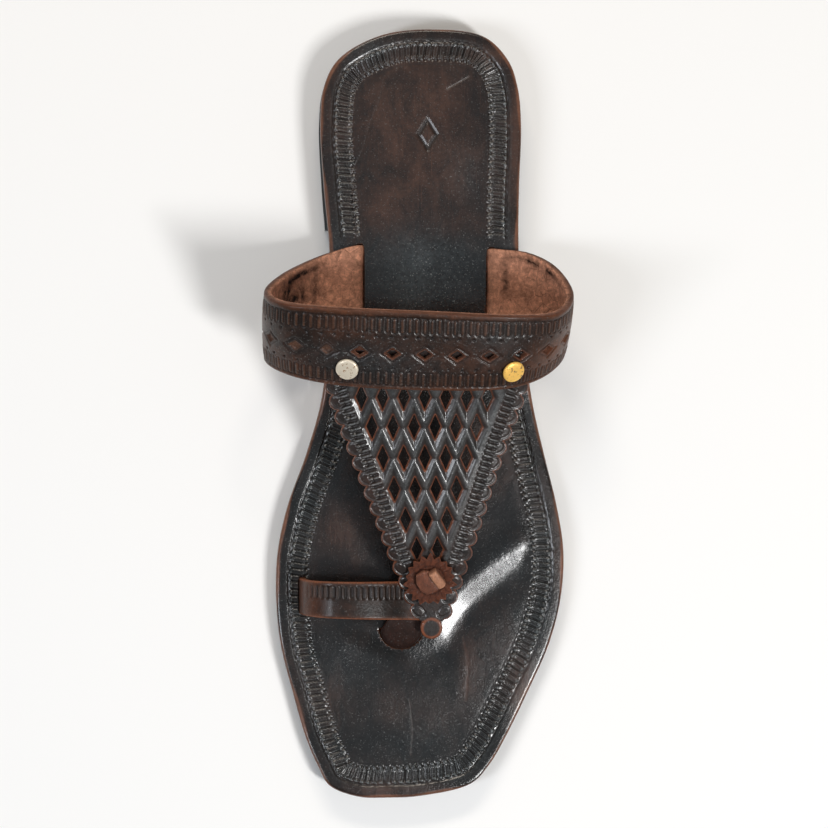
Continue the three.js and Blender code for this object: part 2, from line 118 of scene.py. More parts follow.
# Painted studio floor: matt and even, so it only holds the shoe's shadow.
floor_paint = bpy.data.materials.new("matt painted floor")
floor_paint.use_nodes = True
floor_shader = floor_paint.node_tree.nodes["Principled BSDF"]
floor_shader.inputs["Base Color"].default_value = linear(FLOOR_COLOUR)
floor_shader.inputs["Roughness"].default_value = 0.9
bpy.ops.mesh.primitive_plane_add(size=6)
floor = bpy.context.object
floor.name = "floor"
floor.data.materials.append(floor_paint)


# ---------------------------------------------------------------------------------------------------------
# Outsole: a sheet of dark rubber cut to the sole's outline and cemented under the leather. It is moulded in
# sheets with pairs of shallow grooves, which run lengthwise and lean a little across the forepart.
# ---------------------------------------------------------------------------------------------------------
MM = 0.001
LENGTH = 270.0
HALF_BALL = 50.9
HALF_HEEL = 35.3
GAP = 0.3
OUTSOLE = 3.4
TOP_SOLE = 4.0
HEEL_LIFT = 6.0
HEEL_BREAST = 70.0
ARCH_END = 150.0
WAIST = {"y": 104, "half": 40, "rise": 1.6}
TOE_SPRING = {"from": 236, "past_tip": 8, "rise": 3.0}
HEEL_TIP_X = -3.2
TOE_TIP_X = 11.0
# Share of the length from the heel, then the half widths of the medial and lateral sides, as shares of the
# ball's half width.
SOLE_OUTLINE = [
    (0.0089, 0.288, 0.43),
    (0.0396, 0.572, 0.599),
    (0.0741, 0.672, 0.664),
    (0.122, 0.699, 0.688),
    (0.207, 0.674, 0.674),
    (0.289, 0.636, 0.672),
    (0.385, 0.64, 0.707),
    (0.481, 0.688, 0.776),
    (0.557, 0.802, 0.868),
    (0.619, 0.921, 0.949),
    (0.679, 0.99, 0.998),
    (0.74, 1.002, 0.98),
    (0.801, 0.969, 0.898),
    (0.862, 0.888, 0.754),
    (0.923, 0.794, 0.593),
    (0.959, 0.711, 0.475),
    (0.983, 0.637, 0.346),
    (0.998, 0.442, 0.0),
]


def ease(low, high, value):
    """A smooth rise from 0 at low to 1 at high."""
    t = np.clip((np.asarray(value, float) - low) / (high - low), 0, 1)
    return t**3 * (t * (6 * t - 15) + 10)


def underside_height(x, y):
    """How high the outsole's underside stands: on the heel lift, down to the tread, up again at the toe."""
    heel = (HEEL_LIFT + GAP) * (1 - ease(HEEL_BREAST, ARCH_END, y))
    toe = TOE_SPRING["rise"] * ease(TOE_SPRING["from"], LENGTH + TOE_SPRING["past_tip"], y)
    waist = np.maximum(0, 1 - ((y - WAIST["y"]) / WAIST["half"]) ** 2)
    return heel + toe + WAIST["rise"] * waist**2 * ease(0, HALF_HEEL, x)


def insole_height(x, y):
    return underside_height(x, y) + OUTSOLE + GAP + TOP_SOLE


def curve_at(rows, t, closed=False):
    """Points on a smooth curve through rows of numbers, at shares t from 0 to 1 of its spans."""
    rows = np.asarray(rows, float)
    spans = len(rows) if closed else len(rows) - 1
    place = np.clip(np.asarray(t, float), 0, 1) * spans
    first = np.minimum(place.astype(int), spans - 1)
    part = (place - first)[..., None]
    if closed:
        a, b, c, d = (rows[(first + k) % len(rows)] for k in (-1, 0, 1, 2))
    else:
        longer = np.vstack([2 * rows[0] - rows[1], rows, 2 * rows[-1] - rows[-2]])
        a, b, c, d = (longer[first + k] for k in range(4))
    gaps = [np.sqrt(np.linalg.norm(q - p, axis=-1, keepdims=True)) for p, q in ((a, b), (b, c), (c, d))]
    before, here, after = (np.maximum(g, 1e-6) for g in gaps)
    leave = ((b - a) / before - (c - a) / (before + here) + (c - b) / here) * here
    arrive = ((c - b) / here - (d - b) / (here + after) + (d - c) / after) * here
    bend = 3 * (c - b) - 2 * leave - arrive
    close = leave + arrive - 2 * (c - b)
    return b + part * (leave + part * (bend + part * close))


def walked(points):
    """The length walked from the first point to each point."""
    return np.concatenate([[0], np.cumsum(np.linalg.norm(np.diff(points, axis=0), axis=1))])


def nearest_of(points):
    """A search tree of flat points."""
    tree = kdtree.KDTree(len(points))
    for k, (x, y) in enumerate(points):
        tree.insert((x, y, 0), k)
    tree.balance()
    return tree


medial_side = [(medial * HALF_BALL, along * LENGTH) for along, medial, _ in SOLE_OUTLINE]
lateral_side = [(-lateral * HALF_BALL, along * LENGTH) for along, _, lateral in SOLE_OUTLINE]
outline_rows = [(HEEL_TIP_X, 0.0), *medial_side, (TOE_TIP_X, LENGTH), *lateral_side[::-1]]
fine_outline = curve_at(outline_rows, np.arange(12000) / 12000, closed=True)
closed_outline = np.vstack([fine_outline, fine_outline[:1]])
run_along = walked(closed_outline)
OUTLINE_RUN = run_along[-1]
top_low, top_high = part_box("topsole")
SHIFT = np.array([fine_outline[:, 0].max() - top_high.x / MM, -top_low.y / MM, 0.0])


def outline_at(run, inset=0.0):
    """Points of the sole's edge at lengths round it from the heel tip, moved inwards by inset, in mm."""

    def edge_point(where):
        wrapped = np.mod(where, OUTLINE_RUN)
        return np.array([np.interp(wrapped, run_along, closed_outline[:, k]) for k in (0, 1)])

    at = edge_point(run)
    along = edge_point(run + 0.5) - edge_point(run - 0.5)
    along /= np.linalg.norm(along, axis=0)
    return np.column_stack([at[0] - along[1] * inset, at[1] + along[0] * inset])


def run_and_inset(points):
    """For flat points, the run of the nearest point of the sole's edge and the distance in from it."""
    runs = np.arange(0, OUTLINE_RUN, 0.25)
    edge = outline_at(runs)
    tree = nearest_of(edge)
    nearest = np.array([tree.find((x, y, 0))[1] for x, y in points])
    along = np.roll(edge, -1, axis=0) - np.roll(edge, 1, axis=0)
    along /= np.linalg.norm(along, axis=1, keepdims=True)
    away = points - edge[nearest]
    heading = along[nearest]
    run = runs[nearest] + (away * heading).sum(1)
    return run, away[:, 1] * heading[:, 0] - away[:, 0] * heading[:, 1]


def inside(points, loop):
    """Which flat points lie inside a closed loop."""
    found = np.zeros(len(points), bool)
    for (ax, ay), (bx, by) in zip(loop, np.roll(loop, -1, axis=0)):
        level = np.nonzero((points[:, 1] < ay) != (points[:, 1] < by))[0]
        crossing = ax + (points[level, 1] - ay) / (by - ay) * (bx - ax)
        found[level] ^= points[level, 0] < crossing
    return found


def cut_flat(outline, holes, filling, clear=0.25):
    """A flat pattern as triangles. The loops' points come first, in order, and then the filling's."""
    corners = np.vstack([outline, *holes])
    edges, first = [], 0
    for loop in (outline, *holes):
        edges += [(first + k, first + (k + 1) % len(loop)) for k in range(len(loop))]
        first += len(loop)
    keep = inside(filling, outline)
    for hole in holes:
        keep &= ~inside(filling, hole)
    filling = filling[keep]
    tree = nearest_of(corners)
    filling = filling[np.array([tree.find((x, y, 0))[2] > clear for x, y in filling], bool)]
    flat = np.vstack([corners, filling])
    found = geometry.delaunay_2d_cdt([Vector(p) for p in flat], edges, [], 0, 1e-7, False)
    triangles = np.array(found[2])
    middle = flat[triangles].mean(1)
    keep = inside(middle, outline)
    for hole in holes:
        keep &= ~inside(middle, hole)
    return flat, triangles[keep]


def spread(low, high, step):
    """Staggered points that fill a box, about step apart."""
    xs = np.arange(low[0], high[0], step)
    ys = np.arange(low[1], high[1], step * 0.866)
    grid_x, grid_y = np.meshgrid(xs, ys)
    grid_x[1::2] += step / 2
    return np.column_stack([grid_x.ravel(), grid_y.ravel()])


def turned(loop, leftwards):
    """The loop, going round leftwards (anticlockwise) or the other way."""
    ahead = np.roll(loop, -1, axis=0)
    area = (loop[:, 0] * ahead[:, 1] - loop[:, 1] * ahead[:, 0]).sum()
    return loop if (area > 0) == leftwards else loop[::-1]


# How many faces are tried to find which way a sheet's outer side looks.
FACES_TRIED = 400


def solid_sheet(name, outline, holes, outer_filling, inner_filling, outer_at, inner_at, marks, clear=0.25):
    """A closed piece cut from sheet. outer_at and inner_at place flat points in space, in mm, and marks gives
    named numbers for the outer face's points. The walls join the two faces round every loop."""
    outline = turned(outline, True)
    holes = [turned(hole, False) for hole in holes]
    outer_flat, outer_faces = cut_flat(outline, holes, outer_filling, clear)
    inner_flat, inner_faces = cut_flat(outline, holes, inner_filling, clear)
    outer, inner = outer_at(outer_flat), inner_at(inner_flat)
    faces = [outer_faces, inner_faces[:, ::-1] + len(outer)]
    first = 0
    for loop in (outline, *holes):
        here = first + np.arange(len(loop))
        after = first + (np.arange(len(loop)) + 1) % len(loop)
        faces.append(np.column_stack([here, here + len(outer), after]))
        faces.append(np.column_stack([after, here + len(outer), after + len(outer)]))
        first += len(loop)
    tried = outer_faces[:FACES_TRIED]
    corners = outer[tried]
    facing = np.cross(corners[:, 1] - corners[:, 0], corners[:, 2] - corners[:, 0])
    local = inner_at(outer_flat[tried[:, 0]]) - corners[:, 0]
    faces = np.vstack(faces)
    if (facing * local).sum() > 0:
        faces = faces[:, ::-1]
    points = (np.vstack([outer, inner]) - SHIFT) * MM
    mesh = bpy.data.meshes.new(name)
    mesh.from_pydata(points.tolist(), [], faces.tolist())
    mesh.shade_smooth()
    for mark, (values, rest) in marks(outer_flat, first).items():
        values = np.asarray(values, float)
        whole = np.zeros((len(points), *values.shape[1:]))
        whole[: len(values)] = values
        whole[len(values) :] = rest(inner_flat) if callable(rest) else rest
        if values.ndim == 2:
            mesh.attributes.new(mark, "FLOAT_VECTOR", "POINT").data.foreach_set("vector", whole.ravel())
        else:
            mesh.attributes.new(mark, "FLOAT", "POINT").data.foreach_set("value", whole)
    piece = bpy.data.objects.new(name, mesh)
    bpy.context.collection.objects.link(piece)
    return piece


# Stamped row: one tool struck again and again along a line. Every point is moved along its own "lift" by the
# depth of the nearest mark, and "stamp" keeps how strongly the mark was struck times its tone: above zero the
# dye that gathers there together with painted shade, below zero a painted highlight on raised ridges.
stamped = bpy.data.node_groups.new("stamped row", "GeometryNodeTree")
STAMP_SOCKETS = [
    ("geometry", "NodeSocketGeometry", None),
    ("along", "NodeSocketString", "run"),
    ("across", "NodeSocketString", "inset"),
    ("place", "NodeSocketFloat", 0.0),
    ("start", "NodeSocketFloat", 0.0),
    ("pitch", "NodeSocketFloat", 2.0),
    ("half_length", "NodeSocketFloat", 1.0),
    ("half_width", "NodeSocketFloat", 0.5),
    ("slant", "NodeSocketFloat", 0.0),
    ("repeats", "NodeSocketFloat", 1.0),
    ("lozenge", "NodeSocketFloat", 0.0),
    ("outlined", "NodeSocketFloat", 0.0),
    ("line", "NodeSocketFloat", 0.3),
    ("soft", "NodeSocketFloat", 0.3),
    ("depth", "NodeSocketFloat", -0.4),
    ("dye_and_painted_light", "NodeSocketFloat", 1.0),
    ("reach", "NodeSocketFloat", 10000.0),
    ("material", "NodeSocketMaterial", None),
]
for title, kind, value in STAMP_SOCKETS:
    made_socket = stamped.interface.new_socket(title, in_out="INPUT", socket_type=kind)
    if value is not None:
        made_socket.default_value = value
stamped.interface.new_socket("geometry", in_out="OUTPUT", socket_type="NodeSocketGeometry")


def sums(tree, operation, *values):
    """The result of a Math node on these values or sockets."""
    return add(tree, "ShaderNodeMath", dict(enumerate(values)), operation=operation).outputs[0]


given = add(stamped, "NodeGroupInput").outputs
read_along = add(stamped, "GeometryNodeInputNamedAttribute", {"Name": given["along"]}, data_type="FLOAT")
read_across = add(stamped, "GeometryNodeInputNamedAttribute", {"Name": given["across"]}, data_type="FLOAT")
read_press, read_stamp, read_lift = (
    add(stamped, "GeometryNodeInputNamedAttribute", {"Name": title}, data_type=kind)
    for title, kind in (("press", "FLOAT"), ("stamp", "FLOAT"), ("lift", "FLOAT_VECTOR"))
)
off_row = sums(stamped, "SUBTRACT", read_across.outputs["Attribute"], given["place"])
lean = sums(stamped, "MULTIPLY", off_row, given["slant"])
from_start = sums(stamped, "SUBTRACT", read_along.outputs["Attribute"], given["start"])
beat = sums(stamped, "SUBTRACT", from_start, lean)
number = sums(stamped, "ROUND", sums(stamped, "DIVIDE", beat, given["pitch"]))
struck = sums(stamped, "MULTIPLY", number, given["pitch"])
off_beat = sums(stamped, "ABSOLUTE", sums(stamped, "SUBTRACT", beat, struck))
near = sums(stamped, "MULTIPLY", off_beat, given["repeats"])
away = sums(stamped, "ABSOLUTE", off_row)
long_half, wide_half = given["half_length"], given["half_width"]
straight = sums(stamped, "SUBTRACT", long_half, wide_half)
past_end = sums(stamped, "MAXIMUM", sums(stamped, "SUBTRACT", away, straight), 0.0)
squares = [sums(stamped, "MULTIPLY", value, value) for value in (past_end, near)]
from_bar = sums(stamped, "SUBTRACT", sums(stamped, "SQRT", sums(stamped, "ADD", *squares)), wide_half)
share_near, share_away = sums(stamped, "DIVIDE", near, wide_half), sums(stamped, "DIVIDE", away, long_half)
shares = sums(stamped, "ADD", share_near, share_away)
both_halves = sums(stamped, "MULTIPLY", wide_half, long_half)
steep = sums(stamped, "DIVIDE", both_halves, sums(stamped, "ADD", wide_half, long_half))
past_lozenge = sums(stamped, "SUBTRACT", shares, 1.0)
from_lozenge = sums(stamped, "MULTIPLY", past_lozenge, sums(stamped, "MULTIPLY", steep, 1.25))
form = add(stamped, "ShaderNodeMix", {0: given["lozenge"], 2: from_bar, 3: from_lozenge}, data_type="FLOAT")
shape = form.outputs[0]
drawn = sums(stamped, "SUBTRACT", sums(stamped, "ABSOLUTE", shape), given["line"])
form = add(stamped, "ShaderNodeMix", {0: given["outlined"], 2: shape, 3: drawn}, data_type="FLOAT")
shape = form.outputs[0]
low_side = sums(stamped, "MULTIPLY", given["soft"], -1.0)
mark = add(
    stamped,
    "ShaderNodeMapRange",
    {"Value": shape, "From Min": low_side, "From Max": given["soft"], "To Min": 1.0, "To Max": 0.0},
    interpolation_type="SMOOTHSTEP",
).outputs[0]
from_middle = sums(stamped, "ABSOLUTE", read_along.outputs["Attribute"])
within = sums(stamped, "LESS_THAN", from_middle, given["reach"])
mark = sums(stamped, "MULTIPLY", sums(stamped, "MULTIPLY", mark, within), read_press.outputs["Attribute"])
moved = add(
    stamped,
    "ShaderNodeVectorMath",
    {0: read_lift.outputs["Attribute"], "Scale": sums(stamped, "MULTIPLY", mark, given["depth"])},
    operation="SCALE",
)
new_place = {"Geometry": given["geometry"], "Offset": moved.outputs[0]}
set_place = add(stamped, "GeometryNodeSetPosition", new_place)
tone_with_painted_light = sums(stamped, "ADD", read_stamp.outputs["Attribute"], sums(stamped, "MULTIPLY", mark, given["dye_and_painted_light"]))
keep_stamp = add(
    stamped,
    "GeometryNodeStoreNamedAttribute",
    {"Geometry": set_place.outputs[0], "Name": "stamp", "Value": tone_with_painted_light},
    data_type="FLOAT",
    domain="POINT",
)
realized = add(stamped, "GeometryNodeRealizeInstances", {"Geometry": keep_stamp.outputs[0]})
covered = {"Geometry": realized.outputs[0], "Material": given["material"]}
finished = add(stamped, "GeometryNodeSetMaterial", covered)
add(stamped, "NodeGroupOutput", {"geometry": finished.outputs[0]})


def strike(piece, material, rows):
    """Presses rows of tool marks into a piece and leaves it a plain mesh."""
    for row in rows:
        tool = piece.modifiers.new("stamped row", "NODES")
        tool.node_group = stamped
        for socket in stamped.interface.items_tree:
            if socket.item_type == "SOCKET" and socket.in_out == "INPUT" and socket.name in row:
                value = row[socket.name]
                tool[socket.identifier] = value if isinstance(value, str) else float(value)
            elif socket.item_type == "SOCKET" and socket.name == "material":
                tool[socket.identifier] = material
    graph = bpy.context.evaluated_depsgraph_get()
    shaped = piece.evaluated_get(graph)
    mesh = bpy.data.meshes.new_from_object(shaped, preserve_all_data_layers=True, depsgraph=graph)
    piece.modifiers.clear()
    piece.data = mesh
    if not mesh.materials:
        mesh.materials.append(material)


def tool(place, half_length, half_width, depth, dye_and_painted_light, **more):
    """One row of a tool's marks: where it runs, half the mark's sizes, how deep it goes and its tone: dark dye
    with painted shade above zero, a painted highlight below.
    """
    sizes = {"place": place, "half_length": half_length, "half_width": half_width}
    return {**sizes, "depth": depth, "dye_and_painted_light": dye_and_painted_light, **more}


def plain_marks(flat, lift=(0, 0, 1)):
    """The marks of a face with nothing drawn on it, struck along one direction."""
    none = np.zeros(len(flat))
    lifts = np.tile(np.array(lift) * MM, (len(flat), 1))
    return {"press": (none + 1, 0), "stamp": (none, 0), "flesh": (none, 0), "lift": (lifts, 0)}


def rubber(name, base, dust_and_glints, grain_mm):
    """Carbon-filled rubber sheet, moulded: dull and nearly black, greyer where dust and scuffs lie, with
    painted shade in its grooves.
    """
    made = bpy.data.materials.new(name)
    made.use_nodes = True
    tree = made.node_tree
    shader = tree.nodes["Principled BSDF"]
    place = add(tree, "ShaderNodeTexCoord").outputs["Object"]
    clouds = {"Vector": place, "Scale": 60.0, "Detail": 5.0, "Roughness": 0.65}
    cloud = add(tree, "ShaderNodeTexNoise", clouds)
    long_way = add(tree, "ShaderNodeMapping", {"Vector": place, "Scale": (260.0, 40.0, 200.0)})
    scuffs = {"Vector": long_way.outputs[0], "Scale": 1.0, "Detail": 8.0, "Roughness": 0.7}
    scuff = add(tree, "ShaderNodeTexNoise", scuffs)
    spots = add(tree, "ShaderNodeMapRange", {"Value": scuff.outputs[0], "From Min": 0.5, "From Max": 0.78})
    patches = add(tree, "ShaderNodeMapRange", {"Value": cloud.outputs[0], "From Min": 0.38, "From Max": 0.7})
    dusty = sums(tree, "MULTIPLY", spots.outputs[0], patches.outputs[0])
    colour = add(tree, "ShaderNodeMix", {0: dusty, 6: linear(base), 7: linear(dust_and_glints)}, data_type="RGBA")
    # The grooves are painted darker: painted shade.
    stamp = add(tree, "ShaderNodeAttribute", attribute_name="stamp").outputs["Fac"]
    groove_shade = {0: stamp, 6: colour.outputs[2], 7: linear(GROOVE_SHADE_TONE)}
    deep = add(tree, "ShaderNodeMix", groove_shade, data_type="RGBA")
    tree.links.new(deep.outputs[2], shader.inputs["Base Color"])
    gloss = add(tree, "ShaderNodeMapRange", {"Value": scuff.outputs[0], "To Min": 0.5, "To Max": 0.75})
    tree.links.new(gloss.outputs[0], shader.inputs["Roughness"])
    grain = add(tree, "ShaderNodeTexNoise", {"Vector": place, "Scale": 1 / (grain_mm * MM), "Detail": 4.0})
    bump = add(tree, "ShaderNodeBump", {"Height": grain.outputs[0], "Strength": 0.45, "Distance": 0.0002})
    tree.links.new(bump.outputs[0], shader.inputs["Normal"])
    shader.inputs["IOR"].default_value = 1.52
    return made


# Painted shade in the rubber's grooves.
GROOVE_SHADE_TONE = "#191b1c"
outsole_rubber = rubber("moulded sheet rubber", "#2b3031", "#5a5f5f", 0.8)
RIB_PITCH = 19.0
RIB_LEAN = math.radians(9.0)
RIB_DOUBLE = 1.3
LIFT_RIB_PITCH = 15.3


def rib_place(points, lean):
    """Distance across the grooves, which lean from the shoe's length by an angle."""
    return points[:, 0] * math.cos(lean) - (points[:, 1] - LENGTH / 2) * math.sin(lean)


def rib_points(lean, pitch, low, high):
    """Close rows of points on both sides of each groove."""
    found = []
    for number in range(-5, 6):
        for off in (-1.0, -0.6, -0.25, 0.1, 0.45, 0.85, 1.2, 1.55, 1.9, 2.3):
            along = np.arange(low, high, 1.6)
            across = number * pitch + off
            back = along - LENGTH / 2
            x = across / math.cos(lean) + back * math.tan(lean)
            found.append(np.column_stack([x, along]))
    return np.vstack(found)


def rubber_layer(name, outline, bottom, top, lean, pitch, ribbed):
    """A layer of sheet rubber between two heights, grooved on its underside."""
    lows, highs = outline.min(0), outline.max(0)
    coarse = spread(lows, highs, 4.0)
    fine = np.vstack([rib_points(lean, pitch, lows[1], highs[1]), spread(lows, highs, 3.0)])
    round_edge = 0.35

    def under(flat):
        height = bottom(flat[:, 0], flat[:, 1])
        height[: len(outline)] += round_edge
        return np.column_stack([flat, height])

    def over(flat):
        return np.column_stack([flat, top(flat[:, 0], flat[:, 1])])

    def marks(flat, _):
        press = ribbed(flat)
        press[: len(outline)] = 0
        return {
            "run": (rib_place(flat, lean), 0),
            "inset": (np.zeros(len(flat)), 0),
            "press": (press, 0),
            "stamp": (np.zeros(len(flat)), 0),
            "lift": (np.tile([0, 0, -MM], (len(flat), 1)), 0),
        }

    return solid_sheet(name, outline, [], fine, coarse, under, over, marks, clear=0.5)


edge_runs = np.linspace(0, OUTLINE_RUN, 640, endpoint=False)
outsole = rubber_layer(
    "outsole_sheet",
    outline_at(edge_runs, 0.3),
    underside_height,
    lambda x, y: underside_height(x, y) + OUTSOLE,
    RIB_LEAN,
    RIB_PITCH,
    lambda flat: ease(HEEL_BREAST, HEEL_BREAST + 2, flat[:, 1]),
)


def groove_pair(pitch):
    """A deep groove and a shallower one beside it, repeated across the sheet."""
    return [
        tool(0.0, 50.0, 0.3, -0.45, 0.9, soft=0.3, pitch=pitch),
        tool(0.0, 50.0, 0.3, -0.3, 0.6, soft=0.3, pitch=pitch, start=RIB_DOUBLE),
    ]


strike(outsole, outsole_rubber, groove_pair(RIB_PITCH))
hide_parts("outsole")
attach(outsole, "root")


# ---------------------------------------------------------------------------------------------------------
# Heel lift: a second, thicker piece of the same rubber under the heel, cut straight across at the breast and
# trimmed a little wider than the waist there. Its grooves run straight back.
# ---------------------------------------------------------------------------------------------------------
lift_rubber = rubber("moulded heel rubber", "#2c2f30", "#606262", 0.8)
lift_runs = np.linspace(0, OUTLINE_RUN, 1600, endpoint=False)
lift_edge = outline_at(lift_runs)
lift_grow = 0.7 * (np.clip(lift_edge[:, 1], 0, HEEL_BREAST) / HEEL_BREAST) ** 2
lift_loop = np.array([outline_at(np.array([run]), -grow)[0] for run, grow in zip(lift_runs, lift_grow)])
lift_loop = lift_loop[lift_loop[:, 1] <= HEEL_BREAST][::4]
turn_point = int(np.argmax(np.linalg.norm(np.diff(lift_loop, axis=0), axis=1))) + 1
lift_loop = np.roll(lift_loop, -turn_point, axis=0)
breast = np.linspace(lift_loop[-1], lift_loop[0], 40)
breast[:, 1] = HEEL_BREAST
lift_loop = np.vstack([lift_loop, breast])
heel_lift = rubber_layer(
    "heel_lift_block",
    lift_loop,
    lambda x, y: np.zeros(len(x)),
    lambda x, y: underside_height(x, y) - GAP,
    0.0,
    LIFT_RIB_PITCH,
    lambda flat: np.ones(len(flat)),
)
strike(heel_lift, lift_rubber, groove_pair(LIFT_RIB_PITCH))
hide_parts("heel_lift")
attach(heel_lift, "root")


# ---------------------------------------------------------------------------------------------------------
# Top sole: one thick piece of vegetable-tanned buffalo hide, dyed nearly black, rubbed back to red brown and
# waxed. Its edge is rounded and burnished, and inside it run a creased groove and a stamped border. Four
# slits take the ends of the band, the toe loop and the post.
# ---------------------------------------------------------------------------------------------------------
EDGE_ROUND = 1.1
BORDER_PITCH = 2.5
RIM_ROLL = {"from": 1.2, "to": 4.2, "rise": 0.07}
BORDER_END_HEEL = 74.0
BORDER_START_FORE = 108.0
RING_STEP = 0.38
RING_INSETS = [0.1, 0.3, 0.6, 1.0, 1.5, 2.2, 2.9, 3.5, *np.arange(3.9, 13.0, RING_STEP)]
# Creases and soft folds made by wear: points along each, half its width and how far it rises, in mm. The
# first two lie side by side from the lateral border to the strap's tip, and light catches between them.
SHINING_FOLD = [
    (-41.5, 176), (-34, 181.2), (-23.4, 188.8), (-13.6, 197.1), (-8.1, 204.2), (-4.8, 210.3), (-1.6, 212.4),
]
SHADED_FOLD = [
    (-46, 182.6), (-39, 187.4), (-28.2, 195.2), (-19.2, 202.7), (-14.7, 208.6), (-10.8, 215.5), (-5, 219.8),
]
FOLDS = [
    {"points": SHINING_FOLD, "half": 4.8, "rise": 0.74},
    {"points": SHADED_FOLD, "half": 5.6, "rise": -0.85},
    {"points": [(27, 208), (17, 212), (7, 217)], "half": 4.5, "rise": 0.6},
    {"points": [(28, 217), (17, 221), (6, 226)], "half": 5.5, "rise": -0.65},
    {"points": [(20, 168), (12, 184), (4, 196)], "half": 6.0, "rise": -0.3},
    {"points": [(-25, 84), (0, 87), (22, 84)], "half": 9.0, "rise": -0.3},
]
# Fine lines: points along each, and then half its width, its depth in mm, its tone (dark dye with painted
# shade above zero, a painted highlight below zero) and how worn it is.
FINE_LINES = [
    {"points": points, "half": half, "deep": deep, "dye_and_painted_light": dye_and_painted_light, "bare": bare}
    for points, half, deep, dye_and_painted_light, bare in (
        ([(13.6, 18), (14.6, 24), (18.8, 35), (21, 43), (24.5, 50)], 0.3, 0.16, 0.6, 0.5),
        ([(23.2, 52), (24.6, 60), (23.4, 70), (23.8, 78)], 0.28, 0.12, 0.5, 0.3),
        ([(-8.7, 21), (-12, 19.2), (-16.6, 16.5)], 0.22, 0.1, -0.5, 0.9),
        ([(-26.9, 77), (-27.2, 90), (-26.6, 105)], 0.3, 0.2, 0.9, 0.0),
        ([(4, 236), (3, 246), (3.6, 255)], 0.25, 0.05, -0.3, 0.6),
        ([(-15, 214), (-16.6, 224), (-16, 236)], 0.5, 0.04, 0.0, 0.7),
    )
]
# Where the black has been rubbed back to brown: middle, half sizes and how far.
WORN_PATCHES = [
    (2, 26, 26, 26, 0.85),
    (-6, 52, 22, 14, 0.7),
    (14, 64, 14, 8, 0.55),
    (-14, 68, 12, 6, 0.5),
    (-33.5, 34, 3.2, 34, 1.2),
    (-28, 9, 9, 5, 0.8),
    (32, 24, 6, 20, 0.35),
    (28, 176, 9, 9, 0.9),
    (22, 190, 8, 5, 0.5),
    (-48.5, 178, 1.8, 20, 0.6),
    (-36, 232, 5, 14, 0.7),
    (10, 267, 18, 3, 0.8),
    (32, 236, 4, 12, 0.4),
    (-17, 226, 4, 12, 0.6),
    (6, 240, 14, 8, 0.3),
    (-30, 150, 6, 14, 0.35),
    (38, 196, 4, 12, 0.3),
]
# Where a pale grey sheen is painted on, in place of the lamps' reflection: middle, half sizes and how far.
PAINTED_SHEEN_PATCHES = [
    (-1, 88, 20, 14, 1.6),
    (-16, 52, 9, 12, 0.35),
    (31, 82, 5, 12, 0.7),
    (-32, 80, 4, 10, 0.7),
    (-30, 188, 10, 8, 0.5),
    (2, 250, 22, 10, 0.35),
    (24, 224, 12, 8, 0.3),
    (40, 170, 5, 24, 0.25),
    (-40, 214, 6, 12, 0.3),
    (20, 8, 12, 6, 0.5),
]


def soft_patches(flat, patches):
    """How far each point lies within soft patches, added up."""
    total = np.zeros(len(flat))
    for x, y, half_x, half_y, amount in patches:
        far = ((flat[:, 0] - x) / half_x) ** 2 + ((flat[:, 1] - y) / half_y) ** 2
        total += amount * np.exp(-1.2 * far)
    return total


def folded(flat, folds):
    """The rise of soft ridges and troughs, in mm."""
    total = np.zeros(len(flat))
    for fold in folds:
        way = curve_at(fold["points"], np.linspace(0, 1, 60))
        gap = np.full(len(flat), 1e9)
        place = np.zeros(len(flat))
        for share, point in zip(np.linspace(0, 1, 60), way):
            here = np.hypot(flat[:, 0] - point[0], flat[:, 1] - point[1])
            place = np.where(here < gap, share, place)
            gap = np.minimum(gap, here)
        fade = np.sin(np.pi * np.clip(place * 0.9 + 0.05, 0, 1)) ** 0.6
        total += fold["rise"] * fade * np.exp(-((gap / fold["half"]) ** 2))
    return total


def lined(flat, lines, key):
    """How strongly fine lines show at each point, by one of their numbers."""
    total = np.zeros(len(flat))
    for line in lines:
        way = curve_at(line["points"], np.linspace(0, 1, 90))
        gap = np.min([np.hypot(flat[:, 0] - x, flat[:, 1] - y) for x, y in way], axis=0)
        total += line[key] * np.exp(-((gap / line["half"]) ** 2))
    return total


def strap_slit(middle, half_x, half_y):
    """A slit with round corners, as a closed loop."""
    angles = np.linspace(0, 2 * np.pi, 80, endpoint=False)
    power = 0.35
    x = middle[0] + half_x * np.sign(np.cos(angles)) * np.abs(np.cos(angles)) ** power
    y = middle[1] + half_y * np.sign(np.sin(angles)) * np.abs(np.sin(angles)) ** power
    loop = np.column_stack([x, y])
    ring = np.vstack([loop, loop[:1]])
    even = walked(ring)
    want = np.linspace(0, even[-1], max(40, int(even[-1] / 0.6)), endpoint=False)
    return np.column_stack([np.interp(want, even, ring[:, k]) for k in (0, 1)])


post_arc = np.linspace(-np.pi / 2, np.pi / 2, 40)
post_out = np.column_stack([7 + 7.7 * np.sin(post_arc), 210.8 + 7.0 * np.cos(post_arc)])
post_in = np.column_stack([7 + 4.9 * np.sin(post_arc), 210.8 + 4.2 * np.cos(post_arc)])
SLITS = [
    strap_slit((21.9, 90.0), 1.75, 14.5),
    strap_slit((-24.4, 91.0), 1.75, 14.5),
    strap_slit((41.65, 198.75), 1.5, 6.6),
    np.vstack([post_out, post_in[::-1]]),
]

# Stamped heel mark: a small plain lozenge struck once.
HEEL_MARK = {"x": -2.0, "y": 37.0, "half_x": 3.2, "half_y": 5.0}


def from_heel_mark(flat):
    """Distance from the middle of the heel mark, as a share of its size."""
    away_x = np.abs(flat[:, 0] - HEEL_MARK["x"]) / HEEL_MARK["half_x"]
    return away_x + np.abs(flat[:, 1] - HEEL_MARK["y"]) / HEEL_MARK["half_y"]


